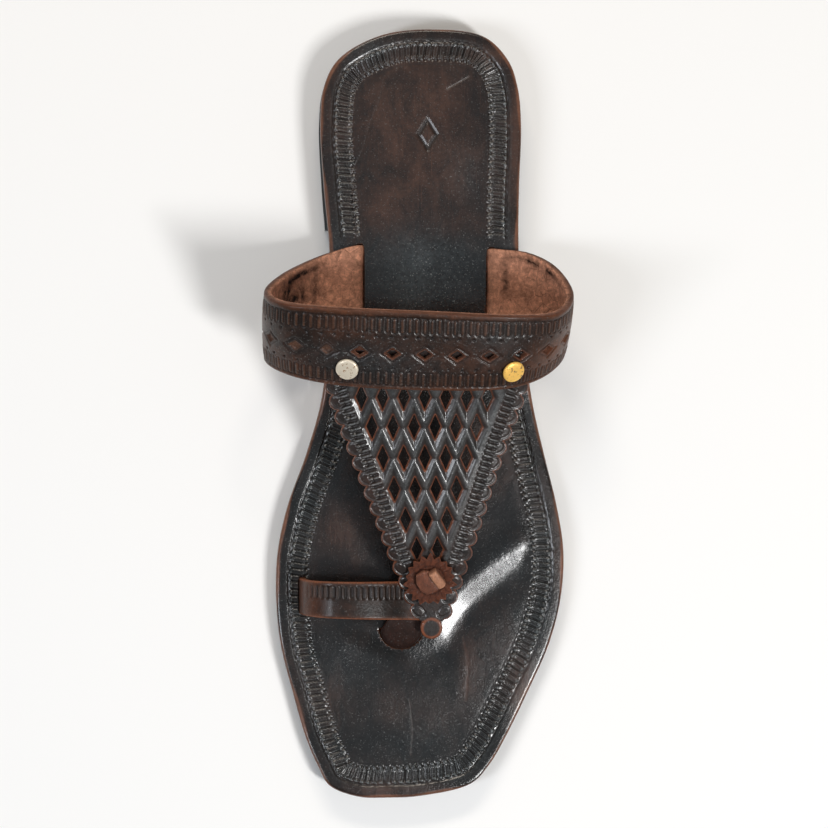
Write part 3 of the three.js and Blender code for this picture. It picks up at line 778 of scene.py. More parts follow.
def leather(name, tones, mottle_mm, shine, wax, gleam):
    """Vegetable-tanned hide, dyed and waxed. The black dye is rubbed back to brown in clouds, marks hold dark
    red dye with painted shade, struck ridges get a painted highlight, patches get a pale painted sheen with
    painted glints, cut edges are burnished orange brown, and the flesh side is tan fibre."""
    made = bpy.data.materials.new(name)
    made.use_nodes = True
    tree = made.node_tree
    shader = tree.nodes["Principled BSDF"]
    place = add(tree, "ShaderNodeTexCoord").outputs["Object"]
    mark = {
        key: add(tree, "ShaderNodeAttribute", attribute_name=key).outputs["Fac"]
        for key in ("stamp", "worn", "cut", "flesh", "bloom", "stain")
    }

    def noise(scale, detail, roughness, low, high, twist=0.0, where=place):
        """A cloud of values from 0 to 1 between two levels of a noise."""
        made_noise = add(
            tree,
            "ShaderNodeTexNoise",
            {"Vector": where, "Scale": scale, "Detail": detail, "Roughness": roughness, "Distortion": twist},
        )
        level = {"Value": made_noise.outputs[0], "From Min": low, "From Max": high}
        return add(tree, "ShaderNodeMapRange", level).outputs[0]

    def mixed(share, under, over):
        """One colour laid over another by a share."""
        inputs = {0: share}
        for number, tone in ((6, under), (7, over)):
            inputs[number] = linear(tone) if isinstance(tone, str) else tone
        return add(tree, "ShaderNodeMix", inputs, data_type="RGBA", clamp_factor=True).outputs[2]

    def times(*values):
        product = values[0]
        for value in values[1:]:
            product = sums(tree, "MULTIPLY", product, value)
        return product

    def plus(*values):
        total = values[0]
        for value in values[1:]:
            total = sums(tree, "ADD", total, value)
        return total

    def within_one(value):
        return add(tree, "ShaderNodeClamp", {"Value": value}).outputs[0]

    mottle_scale = [1 / (size * MM) for size in mottle_mm]
    drawn_out = add(tree, "ShaderNodeMapping", {"Vector": place, "Scale": mottle_scale}).outputs[0]
    mottle = noise(1.0, 9.0, 0.7, 0.36, 0.66, 0.8, drawn_out)
    clouds = noise(34.0, 5.0, 0.62, 0.38, 0.64, 0.6)
    fine = noise(700.0, 4.0, 0.75, 0.3, 0.7)
    dust_and_glints = noise(1700.0, 2.0, 0.5, 0.62, 0.74)
    fine_way = add(tree, "ShaderNodeMapping", {"Vector": place, "Scale": (1900.0, 60.0, 300.0)}).outputs[0]
    streaks = noise(1.0, 3.0, 0.5, 0.6, 0.7, 0.0, fine_way)
    rubbed = times(mark["worn"], plus(times(mottle, 0.6), 0.42))
    bare = within_one(plus(times(streaks, mark["worn"], 0.55), times(mottle, clouds, 0.4), rubbed))
    colour = mixed(bare, tones["black"], tones["brown"])
    # Painted sheen: a pale grey tone laid on in patches where the lamps' reflection would show, kept off the
    # marks.
    painted_sheen = plus(times(clouds, 0.35), times(fine, 0.5), 0.1)
    painted_sheen = within_one(times(mark["bloom"], painted_sheen, sums(tree, "SUBTRACT", 1.0, mark["stamp"])))
    colour = mixed(painted_sheen, colour, tones["painted_sheen"])
    # Pale specks painted as glints of light, more of them where the painted sheen lies.
    colour = mixed(times(dust_and_glints, plus(times(mark["bloom"], 0.45), 0.17)), colour, "#969a98")
    # Struck marks take a dark tone, dye with painted shade; raised ridges take a pale tone, a painted
    # highlight.
    pressed_dye_and_shade = within_one(times(mark["stamp"], 0.9))
    raised_highlight = within_one(times(mark["stamp"], -1.0))
    colour = mixed(pressed_dye_and_shade, colour, tones["groove_dye_and_shade"])
    colour = mixed(times(raised_highlight, plus(times(fine, 0.7), 0.3)), colour, tones["ridge_highlight"])
    fibre = noise(420.0, 6.0, 0.75, 0.34, 0.64)
    hair_way = add(tree, "ShaderNodeMapping", {"Vector": place, "Scale": (300.0, 220.0, 90.0)}).outputs[0]
    hairs = noise(1.0, 6.0, 0.7, 0.46, 0.56, 1.5, hair_way)
    dark_flesh = [c * 0.42 for c in linear(tones["flesh"])[:3]] + [1.0]
    fuzzy = mixed(within_one(plus(times(fibre, 0.75), times(clouds, 0.3))), dark_flesh, tones["flesh"])
    cells = add(tree, "ShaderNodeTexVoronoi", {"Vector": drawn_out, "Scale": 1.4}, feature="DISTANCE_TO_EDGE")
    crack_range = {"Value": cells.outputs[0], "From Max": 0.05, "To Min": 0.9, "To Max": 0.0}
    cracks = add(tree, "ShaderNodeMapRange", crack_range).outputs[0]
    fuzzy = mixed(times(sums(tree, "SUBTRACT", 1.0, hairs), 0.6), fuzzy, dark_flesh)
    fuzzy = mixed(times(cracks, mottle, clouds), fuzzy, "#1f130e")
    fuzzy = mixed(within_one(times(mark["stain"], plus(times(mottle, 1.2), 0.2))), fuzzy, "#170f0c")
    colour = mixed(mark["flesh"], colour, fuzzy)
    dark_edge = [c * 0.45 for c in linear(tones["edge"])[:3]] + [1.0]
    burnt = mixed(times(clouds, mottle), tones["edge"], dark_edge)
    patchy = times(mark["cut"], sums(tree, "SUBTRACT", mottle, 0.8))
    bared = within_one(plus(times(mark["cut"], 1.35), patchy))
    colour = mixed(bared, colour, burnt)
    even = add(tree, "ShaderNodeMapRange", {"Value": fine, "To Min": 0.72, "To Max": 1.28}).outputs[0]
    uneven = add(tree, "ShaderNodeMix", {0: 1.0, 6: colour, 7: even}, data_type="RGBA", blend_type="MULTIPLY")
    tree.links.new(uneven.outputs[2], shader.inputs["Base Color"])
    dull = plus(times(clouds, 0.06), shine, times(mark["flesh"], 0.45), times(bare, 0.14))
    dull = plus(dull, times(pressed_dye_and_shade, 0.15), times(bared, 0.12))
    tree.links.new(within_one(dull), shader.inputs["Roughness"])
    pores = {"Vector": place, "Scale": 1700.0, "Detail": 2.0, "Roughness": 0.6}
    grain = add(tree, "ShaderNodeTexNoise", pores).outputs[0]
    wrinkles = {"Vector": place, "Scale": 300.0, "Detail": 5.0, "Roughness": 0.65}
    wrinkle = add(tree, "ShaderNodeTexNoise", wrinkles).outputs[0]
    heights = plus(times(grain, 0.5), times(wrinkle, 0.9), times(fibre, mark["flesh"], 1.2))
    bump = add(tree, "ShaderNodeBump", {"Height": heights, "Strength": 0.6, "Distance": 0.00026})
    tree.links.new(bump.outputs[0], shader.inputs["Normal"])
    shader.inputs["IOR"].default_value = 1.5
    shader.inputs["Specular IOR Level"].default_value = gleam
    waxed = add(tree, "ShaderNodeMapRange", {"Value": mark["flesh"], "To Min": wax, "To Max": 0.0})
    tree.links.new(waxed.outputs[0], shader.inputs["Coat Weight"])
    shader.inputs["Coat Roughness"].default_value = 0.13
    return made


top_leather = leather(
    "waxed black hide, top sole",
    dict(
        black="#0e0f0f", brown="#3d261b", painted_sheen="#414749", groove_dye_and_shade="#110d0c",
        ridge_highlight="#626767", edge="#6f4631", flesh="#94664d",
    ),
    (7.0, 13.0, 8.0), 0.19, 0.32, 0.42,
)


def top_outer(flat):
    run, inset = run_and_inset(flat)
    inset = np.maximum(inset, 0)
    drop = EDGE_ROUND - np.sqrt(np.maximum(EDGE_ROUND**2 - np.maximum(EDGE_ROUND - inset, 0) ** 2, 0))
    roll = np.clip((inset - RIM_ROLL["from"]) / (RIM_ROLL["to"] - RIM_ROLL["from"]), 0, 1)
    height = insole_height(flat[:, 0], flat[:, 1]) - drop + RIM_ROLL["rise"] * np.sin(np.pi * roll) ** 1.2
    height -= 0.08 * ease(4.0, 5.2, inset) * (1 - ease(9.0, 15.0, inset))
    height += folded(flat, FOLDS) * ease(11.0, 15.0, inset)
    height -= 0.5 * np.exp(-(((from_heel_mark(flat) - 1) / 0.25) ** 2)) + lined(flat, FINE_LINES, "deep")
    return np.column_stack([flat, height])


def top_inner(flat):
    return np.column_stack([flat, underside_height(flat[:, 0], flat[:, 1]) + OUTSOLE + GAP])


def top_marks(flat, loops):
    run, inset = run_and_inset(flat)
    y = flat[:, 1]
    heel_part = 1 - ease(BORDER_END_HEEL - 2, BORDER_END_HEEL, y)
    bordered = np.maximum(heel_part, ease(BORDER_START_FORE - 2, BORDER_START_FORE, y))
    struck_once = 0.9 * np.exp(-(((from_heel_mark(flat) - 1) / 0.3) ** 2)) + lined(flat, FINE_LINES, "dye_and_painted_light")
    cut = 1 - ease(0.3, 1.2, inset + 0.4 * np.sin(run / 9) + 0.25 * np.sin(run / 3.7 + 1))
    cut[len(edge_runs_fine) : loops] = 0.5
    worn = soft_patches(flat, WORN_PATCHES) + lined(flat, FINE_LINES, "bare")
    firm = 0.8 + 0.16 * np.sin(run * 0.37) + 0.14 * np.sin(run * 1.31 + 2) + 0.1 * np.sin(run * 2.9)
    hand = 0.2 * np.sin(run * 0.43 + 1.3) + 0.1 * np.sin(run * 1.17)
    return {
        **plain_marks(flat),
        "run": (run + hand, 0),
        "inset": (inset + 0.07 * np.sin(run * 0.21) + 0.05 * np.sin(run * 1.9), 0),
        "press": (bordered * firm, 0),
        "stamp": (struck_once, 0),
        "worn": (worn, 0),
        "bloom": (soft_patches(flat, PAINTED_SHEEN_PATCHES), 0),
        "cut": (cut, 1),
    }


edge_runs_fine = np.arange(0, OUTLINE_RUN - RING_STEP / 2, RING_STEP)
rings = []
for number, inset in enumerate(RING_INSETS):
    ring = outline_at(edge_runs_fine + (number % 2) * RING_STEP / 2, inset)
    rings.append(ring[run_and_inset(ring)[1] > inset - 0.06])
top_low_corner, top_high_corner = fine_outline.min(0), fine_outline.max(0)
middle_fill = spread(top_low_corner, top_high_corner, 1.15)
middle_fill = middle_fill[run_and_inset(middle_fill)[1] > RING_INSETS[-1] + 0.4]
mark_fill = [spread((-7, 30), (3, 44), 0.4)]
for line in FINE_LINES:
    way = curve_at(line["points"], np.linspace(0, 1, 120))
    mark_fill += [way + (off, 0) for off in (-0.6, -0.3, 0, 0.3, 0.6)]
top_sole = solid_sheet(
    "tooled_top_sole",
    outline_at(edge_runs_fine),
    SLITS,
    np.vstack([*rings, middle_fill, *mark_fill]),
    spread(top_low_corner, top_high_corner, 5.0),
    top_outer,
    top_inner,
    top_marks,
    clear=0.08,
)
# Border marks that fall between the upright bars.
between = {"pitch": BORDER_PITCH, "start": BORDER_PITCH / 2}
strike(
    top_sole,
    top_leather,
    [
        tool(4.45, 0.3, 0.3, -0.5, 1.0, repeats=0),
        tool(3.75, 0.25, 0.25, 0.12, -0.3, repeats=0),
        tool(7.6, 2.0, 0.3, -0.75, 1.1, pitch=BORDER_PITCH, slant=0.14, soft=0.28),
        tool(7.6, 2.2, 0.72, 0.34, -0.75, **between, slant=0.14, outlined=1, line=0.16, soft=0.24),
        tool(5.2, 0.5, 0.5, 0.3, -0.8, **between, soft=0.2),
        tool(10.7, 0.45, 0.45, -0.5, 0.8, pitch=BORDER_PITCH, soft=0.25),
        tool(10.6, 0.4, 0.5, 0.3, -0.8, **between, soft=0.22),
        tool(12.3, 0.2, 0.2, -0.05, 0.5, repeats=0),
    ],
)
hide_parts("topsole")
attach(top_sole, "root")


# ---------------------------------------------------------------------------------------------------------
# Instep band: one strip of hide that rises from the medial slit as an ear, crosses the instep and goes down
# to the lateral slit. It is pierced with lozenges and stamped with bars and dots along both edges, and its
# flesh side shows inside the ears.
# ---------------------------------------------------------------------------------------------------------
INSTEP_HEIGHT = 47.0
RING_HALF_WIDTH = 54.0
BAND_THICK = 2.6
BAND_CROWN = 0.7
BAND_WIDTH = 27.0
FOOT_DEPTH = TOP_SOLE - 2.5 * GAP
EDGE_CHAMFER = 0.3
CUT_SHOWS = 0.58
# Places of the heel edge and the toe edge from the medial slit to the lateral one: x as a share of the ring's
# half width, y in mm, and height over the insole as a share of the instep's.
BAND_ROWS = [
    ((0.398, 76, -0.03), (0.398, 104, -0.03)),
    ((0.415, 76, 0.022), (0.415, 104, 0.022)),
    ((0.48, 76.8, 0.04), (0.48, 103.8, 0.04)),
    ((0.64, 79.8, 0.07), (0.64, 104.4, 0.06)),
    ((0.9, 87.6, 0.36), (0.9, 109, 0.18)),
    ((1, 94.6, 0.74), (1, 116, 0.42)),
    ((0.9, 98.2, 0.97), (0.88, 121, 0.7)),
    ((0.6, 100, 1.06), (0.6, 124.6, 0.86)),
    ((0, 101.4, 1.11), (0, 126.6, 0.92)),
    ((-0.52, 102.3, 1.06), (-0.5, 125.8, 0.86)),
    ((-0.78, 101, 0.93), (-0.74, 121.2, 0.66)),
    ((-0.893, 94.6, 0.66), (-0.872, 114, 0.4)),
    ((-0.82, 84, 0.3), (-0.81, 108.4, 0.18)),
    ((-0.66, 78.4, 0.07), (-0.66, 104.6, 0.06)),
    ((-0.53, 77.4, 0.04), (-0.53, 104.8, 0.04)),
    ((-0.462, 77, 0.022), (-0.462, 105, 0.022)),
    ((-0.445, 77, -0.03), (-0.445, 105, -0.03)),
]


def band_edge(number):
    """Points through which one edge of the band goes, with a foot down each slit."""
    points = []
    for row in BAND_ROWS:
        share_x, y, share_up = row[number]
        x = share_x * RING_HALF_WIDTH
        points.append((x, y, insole_height(x, y) + share_up * INSTEP_HEIGHT))
    first, last = points[0], points[-1]
    down = [(x, y, insole_height(x, y) - FOOT_DEPTH) for x, y, _ in (first, last)]
    return [down[0], *points, down[1]]


heel_edge, toe_edge = band_edge(0), band_edge(1)


def band_middle(along, across):
    """The band's middle layer at shares along it and across it."""

    def flat_at(a, c):
        return curve_at(heel_edge, a) * (1 - c)[:, None] + curve_at(toe_edge, a) * c[:, None]

    half = np.full(len(along), 0.5)
    run = flat_at(np.minimum(1, along + 1e-3), half) - flat_at(np.maximum(0, along - 1e-3), half)
    side = flat_at(along, half * 2) - flat_at(along, half * 0)
    outwards = np.cross(side, run)
    outwards /= np.linalg.norm(outwards, axis=1, keepdims=True)
    free = np.minimum(1, 10 * np.minimum(along, 1 - along))
    return flat_at(along, across) + outwards * (free * BAND_CROWN * 4 * across * (1 - across))[:, None]


def normals_of(surface, along, across, small=1e-3):
    """Unit normals of a surface given by shares along and across."""
    run = surface(np.minimum(1, along + small), across) - surface(np.maximum(0, along - small), across)
    side = surface(along, np.minimum(1, across + small)) - surface(along, np.maximum(0, across - small))
    normal = np.cross(side, run)
    return normal / np.linalg.norm(normal, axis=1, keepdims=True)


def strap_piece(
    name, surface, thick, outline, holes, outer_filling, inner_filling, shares, marks, outward=1.0
):
    """A strap cut flat and bent to its surface. shares turns flat points into shares along and across."""

    def layer(flat, side, loops):
        along, across = shares(flat)
        normal = outward * normals_of(surface, along, across)
        depth = np.full(len(flat), thick / 2)
        depth[:loops] -= EDGE_CHAMFER
        return surface(along, across) + normal * (side * depth)[:, None]

    count = len(outline) + sum(len(hole) for hole in holes)

    def all_marks(flat, loops):
        along, across = shares(flat)
        found = {**plain_marks(flat), "worn": (np.zeros(len(flat)), 0), **marks(flat, along, across)}
        edge = nearest_of(flat[:loops])
        cut = 1 - ease(0.1, CUT_SHOWS, np.array([edge.find((x, y, 0))[2] for x, y in flat]))
        cut = np.maximum(cut, found.pop("ring", 0.0))
        lift = outward * normals_of(surface, along, across) * MM
        found.update({"cut": (cut, 0), "flesh": (np.zeros(len(flat)), 1), "lift": (lift, 0)})
        return found

    return solid_sheet(
        name,
        outline,
        holes,
        outer_filling,
        inner_filling,
        lambda flat: layer(flat, 1.0, count if len(flat) > count else 0),
        lambda flat: layer(flat, -1.0, count if len(flat) > count else 0),
        all_marks,
    )


def straight_sided(corners, step):
    """A closed loop through corners, with points about step apart."""
    sides = []
    for a, b in zip(corners, corners[1:] + corners[:1]):
        count = max(3, int(math.hypot(b[0] - a[0], b[1] - a[1]) / step))
        sides.append(np.linspace(a, b, count, endpoint=False))
    return np.vstack(sides)


def rectangle(low, high, step):
    return straight_sided([(low[0], low[1]), (high[0], low[1]), (high[0], high[1]), (low[0], high[1])], step)


def lozenge(x, y, half_x, half_y, step=0.4):
    """A lozenge-shaped hole."""
    return straight_sided([(half_x, 0), (0, half_y), (-half_x, 0), (0, -half_y)], step) + (x, y)


even_share = np.linspace(0, 1, 4001)
band_line = band_middle(even_share, np.full(4001, 0.5))
band_length = walked(band_line)
BAND_RUN = band_length[-1]
top_share = np.interp(0, -band_line[:, 0], even_share)
BAND_MIDDLE_RUN = np.interp(top_share, even_share, band_length)


def band_shares(flat):
    along = np.interp(flat[:, 0] + BAND_MIDDLE_RUN, band_length, even_share)
    return along, np.clip(flat[:, 1] / BAND_WIDTH, 0, 1)


LOZENGE_PITCH = 10.8
LOZENGE_START = -2.2
LOZENGE_ROW = 14.3
BAND_LOZENGES = [LOZENGE_PITCH * k + LOZENGE_START for k in range(-7, 9)]
BAND_HOLE = (2.5, 1.75)
BAND_HOLES_FROM, BAND_HOLES_TO = -28.0, 46.0
band_holes = [
    lozenge(x, LOZENGE_ROW, *BAND_HOLE) for x in BAND_LOZENGES if BAND_HOLES_FROM < x < BAND_HOLES_TO
]
band_low = (-BAND_MIDDLE_RUN, 0.0)
band_high = (BAND_RUN - BAND_MIDDLE_RUN, BAND_WIDTH)
band_leather = leather(
    "waxed black hide, instep band",
    dict(
        black="#140f0c", brown="#5b331c", painted_sheen="#2f3436", groove_dye_and_shade="#0a0605",
        ridge_highlight="#5a3b2a", edge="#633a27", flesh="#efac8b",
    ),
    (6.0, 6.0, 6.0), 0.33, 0.12, 0.22,
)


# Where the band's black has gone brown, where a pale sheen is painted on and where its flesh side is stained
# dark, in mm from the middle of the instep and from the heel edge: middle, half sizes and how far.
BAND_WORN = [
    (-74, 14, 14, 12, 0.8),
    (-50, 22, 12, 6, 0.5),
    (-30, 6, 10, 5, 0.3),
    (6, 14, 14, 6, 0.25),
    (44, 18, 14, 10, 0.75),
    (66, 12, 18, 14, 0.95),
]
BAND_PAINTED_SHEEN = [(-22, 18, 28, 9, 0.9), (24, 8, 14, 8, 0.5)]
FLESH_STAINS = [
    (-82, 9, 4, 6, 1.2),
    (-89, 13, 3.5, 5, 1.4),
    (-76, 13, 3, 5, 1.0),
    (-90, 3, 8, 1.6, 1.2),
    (-96, 12, 1.2, 8, 0.9),
    (82, 2, 16, 1.4, 1.2),
    (96, 10, 1.4, 8, 0.9),
    (88, 16, 5, 3, 0.6),
]


def band_marks(flat, along, across):
    x, y = flat[:, 0], flat[:, 1]
    drawn = ease(-78, -60, x) * (1 - ease(86, 98, x))
    edges = 0.75 * np.exp(-((np.minimum(y, BAND_WIDTH - y) / 1.4) ** 2))
    hand = 0.14 * np.sin(x * 0.9) + 0.1 * np.sin(x * 2.3 + 1)
    return {
        "run": (x + hand, 0),
        "inset": (y + 0.12 * np.sin(x * 0.7), 0),
        "toe_inset": (BAND_WIDTH - y + 0.12 * np.sin(x * 0.6 + 2), 0),
        "press": (drawn, 0),
        "worn": (0.04 + edges + soft_patches(flat, BAND_WORN), 0),
        "bloom": (soft_patches(flat, BAND_PAINTED_SHEEN), 0),
        "stain": (np.zeros(len(flat)), lambda flat: soft_patches(flat, FLESH_STAINS)),
    }


tooled_from, tooled_to = -82.0, 100.0
band_fill = np.vstack(
    [
        spread((tooled_from, 0.4), (tooled_to, BAND_WIDTH - 0.3), 0.42),
        spread((band_low[0], 0.4), (tooled_from, BAND_WIDTH - 0.3), 1.0),
        spread((tooled_to, 0.4), (band_high[0], BAND_WIDTH - 0.3), 1.0),
    ]
)
instep_band = strap_piece(
    "instep_band",
    band_middle,
    BAND_THICK,
    rectangle(band_low, band_high, 0.8),
    band_holes,
    band_fill,
    spread(band_low, band_high, 1.3),
    band_shares,
    band_marks,
)
bar = {"pitch": 2.5, "outlined": 1, "line": 0.16, "soft": 0.26}
bar_middle = {"pitch": 2.5, "soft": 0.3, "line": 0.16}
dot = {"pitch": 4.6, "soft": 0.25}
at_toe_edge = {"across": "toe_inset"}
strike(
    instep_band,
    band_leather,
    [
        tool(4.7, 2.5, 0.72, -0.42, 0.9, **bar),
        tool(4.7, 2.5, 0.35, 0.1, -0.7, **bar_middle),
        tool(3.9, 2.5, 0.72, -0.42, 0.9, **bar, **at_toe_edge),
        tool(3.9, 2.5, 0.35, 0.1, -0.7, **bar_middle, **at_toe_edge),
        tool(8.6, 0.42, 0.42, -0.55, 1.0, **dot),
        tool(7.6, 0.42, 0.42, -0.55, 1.0, **dot, **at_toe_edge, start=1.2),
        tool(2.0, 0.22, 0.22, -0.22, 0.5, repeats=0, soft=0.28),
        tool(1.5, 0.22, 0.22, -0.22, 0.5, repeats=0, soft=0.28, **at_toe_edge),
        tool(
            LOZENGE_ROW, 3.0, 4.1, -0.45, 0.5,
            start=LOZENGE_START, pitch=LOZENGE_PITCH, lozenge=1, outlined=1, line=0.2, soft=0.35,
        ),
        *[
            tool(LOZENGE_ROW, 1.7, 2.4, -0.9, -1.4, start=x, pitch=1000, lozenge=1)
            for x in BAND_LOZENGES
            if not BAND_HOLES_FROM < x < BAND_HOLES_TO
        ],
    ],
)
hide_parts("upper")
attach(instep_band, "root")


# ---------------------------------------------------------------------------------------------------------
# Pointed strap: a triangle of hide from under the band to the toe knot, pierced with a lattice of tall
# lozenges. Its two sides carry a border of short stamped bars and are cut in scallops, each with a crescent
# struck in it.
# ---------------------------------------------------------------------------------------------------------
POINTED_THICK = 2.4
LOBE_PITCH = 5.2
LOBE_DEPTH = 2.8
LOBE_RADIUS = 2.9
TIP_NECK = 3.1
LOBES_END = 205.9
TIP_LOBE = {"y": 209.3, "radius": 3.8}
HEEL_END = 113.0
ACROSS_SPAN = 100
# y along the foot, x of the middle line, half width between the lobes' roots, height over the insole, and how
# far the sides hang.
POINTED_ROWS = np.array(
    [
        (113, 0.6, 33.2, 46.2, 4.2),
        (127, 0.6, 31, 41, 4.6),
        (145, 0.2, 24.6, 34.6, 3.6),
        (163, -0.6, 18.4, 28.8, 2.6),
        (180, -1.5, 12.6, 22.4, 1.5),
        (193, -2.3, 8.2, 15.6, 0.6),
        (203, -2.7, 4.7, 12.6, 0),
        (208, -2.9, 2.4, 11.4, 0),
        (213.4, -3, 0.4, 9.8, 0),
    ]
)
pointed_middle_rows = POINTED_ROWS[:, [1, 0, 3]]
pointed_shape_rows = POINTED_ROWS[:, [2, 4]]
pointed_shares = np.linspace(0, 1, 3001)
pointed_line = curve_at(pointed_middle_rows, pointed_shares)
pointed_shape = curve_at(pointed_shape_rows, pointed_shares)


def pointed_share(y):
    """The share along the strap's middle line at which it reaches y."""
    return np.interp(y, pointed_line[:, 1], pointed_shares)


def pointed_side():
    """One side of the strap from its heel end to its tip: scallops of one radius, and a round tip."""
    y_along = np.linspace(HEEL_END, LOBES_END, 900)
    half = np.interp(pointed_share(y_along), pointed_shares, pointed_shape[:, 0])
    centres_y = np.arange(LOBES_END - LOBE_PITCH / 2, 116, -LOBE_PITCH)[::-1]
    points = [np.array([[half[0], HEEL_END]])]
    for y in centres_y:
        centre = np.array([np.interp(y, y_along, half), y])
        fall = (np.interp(y + 1, y_along, half) - np.interp(y - 1, y_along, half)) / 2
        onwards = np.array([fall, 1.0]) / math.hypot(fall, 1)
        outwards = np.array([onwards[1], -onwards[0]])
        apart = LOBE_PITCH / onwards[1] / 2
        swing = math.asin(min(1, apart / LOBE_RADIUS))
        for angle in np.linspace(-swing, swing, 15)[:-1]:
            way = outwards * math.cos(angle) + onwards * math.sin(angle)
            points.append((centre + LOBE_RADIUS * way)[None])
    neck = math.asin(TIP_NECK / TIP_LOBE["radius"])
    for angle in np.linspace(neck, math.pi - 0.06, 30):
        out = TIP_LOBE["radius"] * math.sin(angle)
        points.append(np.array([[out, TIP_LOBE["y"] - TIP_LOBE["radius"] * math.cos(angle)]]))
    return np.vstack(points)


def pointed_place(along, across):
    """The strap's middle layer. along is a share of its y. across is 0.5 on its middle line, and changes by 1
    over ACROSS_SPAN."""
    y = POINTED_ROWS[0, 0] + along * (POINTED_ROWS[-1, 0] - POINTED_ROWS[0, 0])
    share = pointed_share(y)
    middle_x = np.interp(share, pointed_shares, pointed_line[:, 0])
    up = np.interp(share, pointed_shares, pointed_line[:, 2])
    half = np.interp(share, pointed_shares, pointed_shape[:, 0])
    sag = np.interp(share, pointed_shares, pointed_shape[:, 1])
    reach = (across - 0.5) * ACROSS_SPAN
    drop = sag * (reach / (half + LOBE_DEPTH)) ** 2
    drop = np.minimum(drop, sag * 1.3)
    return np.column_stack([middle_x + reach, y, insole_height(np.zeros(len(y)), y) + up - drop])


pointed_right = pointed_side()
pointed_left = pointed_right * (-1, 1)
pointed_top = np.column_stack([np.linspace(-33, 33, 90)[1:-1], np.full(88, HEEL_END)])
pointed_outline = np.vstack([pointed_top, pointed_right, pointed_left[::-1]])
# How far the strap's sides lean in from its middle line.
SIDE_ANGLE = math.atan2(33 - 8, 193 - 113)
# Lattice: y of each row of lozenges and how many it has.
LATTICE = [(129.4, 7), (139.4, 6), (149.9, 5), (160.6, 4), (171.2, 3), (181.6, 2)]
LATTICE_PITCH = 7.1
LATTICE_HOLE = (1.95, 4.3)
LATTICE_X = 0.9
lattice_places = [
    (LATTICE_X + (k - (count - 1) / 2) * LATTICE_PITCH, y) for y, count in LATTICE for k in range(count)
]
lattice_holes = [lozenge(x, y, *LATTICE_HOLE) for x, y in lattice_places]
strap_leather = leather(
    "waxed black hide, pointed strap",
    dict(
        black="#151616", brown="#4a2a1b", painted_sheen="#5b6061", groove_dye_and_shade="#190f0b",
        ridge_highlight="#666867", edge="#7d4325", flesh="#8a5c44",
    ),
    (4.0, 7.0, 7.0), 0.26, 0.35, 0.5,
)


def pointed_marks(flat, along, across):
    x, y = flat[:, 0], flat[:, 1]
    share = pointed_share(y)
    half = np.interp(share, pointed_shares, pointed_shape[:, 0])
    lean = math.cos(SIDE_ANGLE)
    side_inset = (half - np.abs(x)) * lean
    side_run = (y - HEEL_END) / lean - (np.abs(x) - 20) * math.sin(math.acos(lean))
    from_tip = np.hypot(x, y - TIP_LOBE["y"])
    # Distance from the nearest lozenge, as a share of its own size.
    apart = np.full(len(flat), 9.0)
    for hole_x, hole_y in lattice_places:
        away_x, away_y = np.abs(x - hole_x) / LATTICE_HOLE[0], np.abs(y - hole_y) / LATTICE_HOLE[1]
        apart = np.minimum(apart, away_x + away_y)
    ridge_highlight = ease(1.4, 1.75, apart) * (1 - ease(2.9, 3.6, apart))
    return {
        "run": (x - LATTICE_X, 0),
        "inset": (y, 0),
        "side_run": (side_run, 0),
        "side_inset": (side_inset, 0),
        "lobe_run": (LOBES_END - y, 0),
        "press": (1 - ease(205, 206, y), 0),
        "stamp": (0.9 * (1 - ease(2.2, 2.9, from_tip)), 0),
        "worn": (0.1 + 0.5 * np.exp(-(((half + LOBE_DEPTH - np.abs(x)) / 1.0) ** 2)), 0),
        "ring": 0.9 * np.exp(-(((from_tip - 3.3) / 0.5) ** 4)),
        # Painted highlight: the pale sheen tone on the lattice's ridges, clear of the borders and the tip.
        "bloom": (0.6 * ridge_highlight * ease(4.0, 5.6, side_inset) * (1 - ease(184, 190, y)), 0),
    }


def pointed_to_shares(flat):
    span = POINTED_ROWS[-1, 0] - POINTED_ROWS[0, 0]
    return (flat[:, 1] - POINTED_ROWS[0, 0]) / span, 0.5 + flat[:, 0] / ACROSS_SPAN


pointed_fill = spread((-38, 113.2), (38, 213), 0.37)
pointed_strap = strap_piece(
    "pointed_strap",
    pointed_place,
    POINTED_THICK,
    pointed_outline,
    lattice_holes,
    pointed_fill,
    spread((-36, 113.2), (36, 213), 1.3),
    pointed_to_shares,
    pointed_marks,
)
on_side = {"along": "side_run", "across": "side_inset", "reach": 80.0, "pitch": 2.15, "soft": 0.28}
lobe_mark = {"along": "lobe_run", "across": "side_inset", "start": LOBE_PITCH / 2, "pitch": LOBE_PITCH}
strike(
    pointed_strap,
    strap_leather,
    [
        *[
            tool(
                y, 6.8, 3.08, -0.75, 0.95,
                start=0.0 if count % 2 else LATTICE_PITCH / 2,
                pitch=LATTICE_PITCH, lozenge=1, soft=0.8, reach=count * LATTICE_PITCH / 2,
            )
            for y, count in LATTICE
        ],
        tool(2.4, 1.75, 0.38, -0.6, 1.2, **on_side),
        tool(2.4, 1.75, 0.3, 0.4, -1.0, **on_side, start=1.075),
        tool(0.1, 2.0, 2.0, -0.5, 0.9, **lobe_mark, outlined=1, line=0.2, soft=0.3),
    ],
)
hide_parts("upper")
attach(pointed_strap, "root")


# ---------------------------------------------------------------------------------------------------------
# Toe loop: a short strip of hide from a slit at the medial side, over the big toe, to the knot. A row of
# upright bars is stamped along its heel half.
# ---------------------------------------------------------------------------------------------------------
LOOP_THICK = 2.2
LOOP_WIDTH = 12.4
LOOP_ROWS = [
    (41.7, 192.6, 204.9, 0),
    (41.5, 192.6, 204.9, 5),
    (39.7, 192.7, 205, 11.6),
    (34.6, 192.8, 205.3, 16.4),
    (26, 192.9, 205.6, 18.2),
    (15.6, 193, 206, 16.8),
    (6, 193.1, 206.4, 12.8),
    (-3, 193.2, 206.6, 10.6),
    (-8, 193.6, 204.5, 10.8),
]


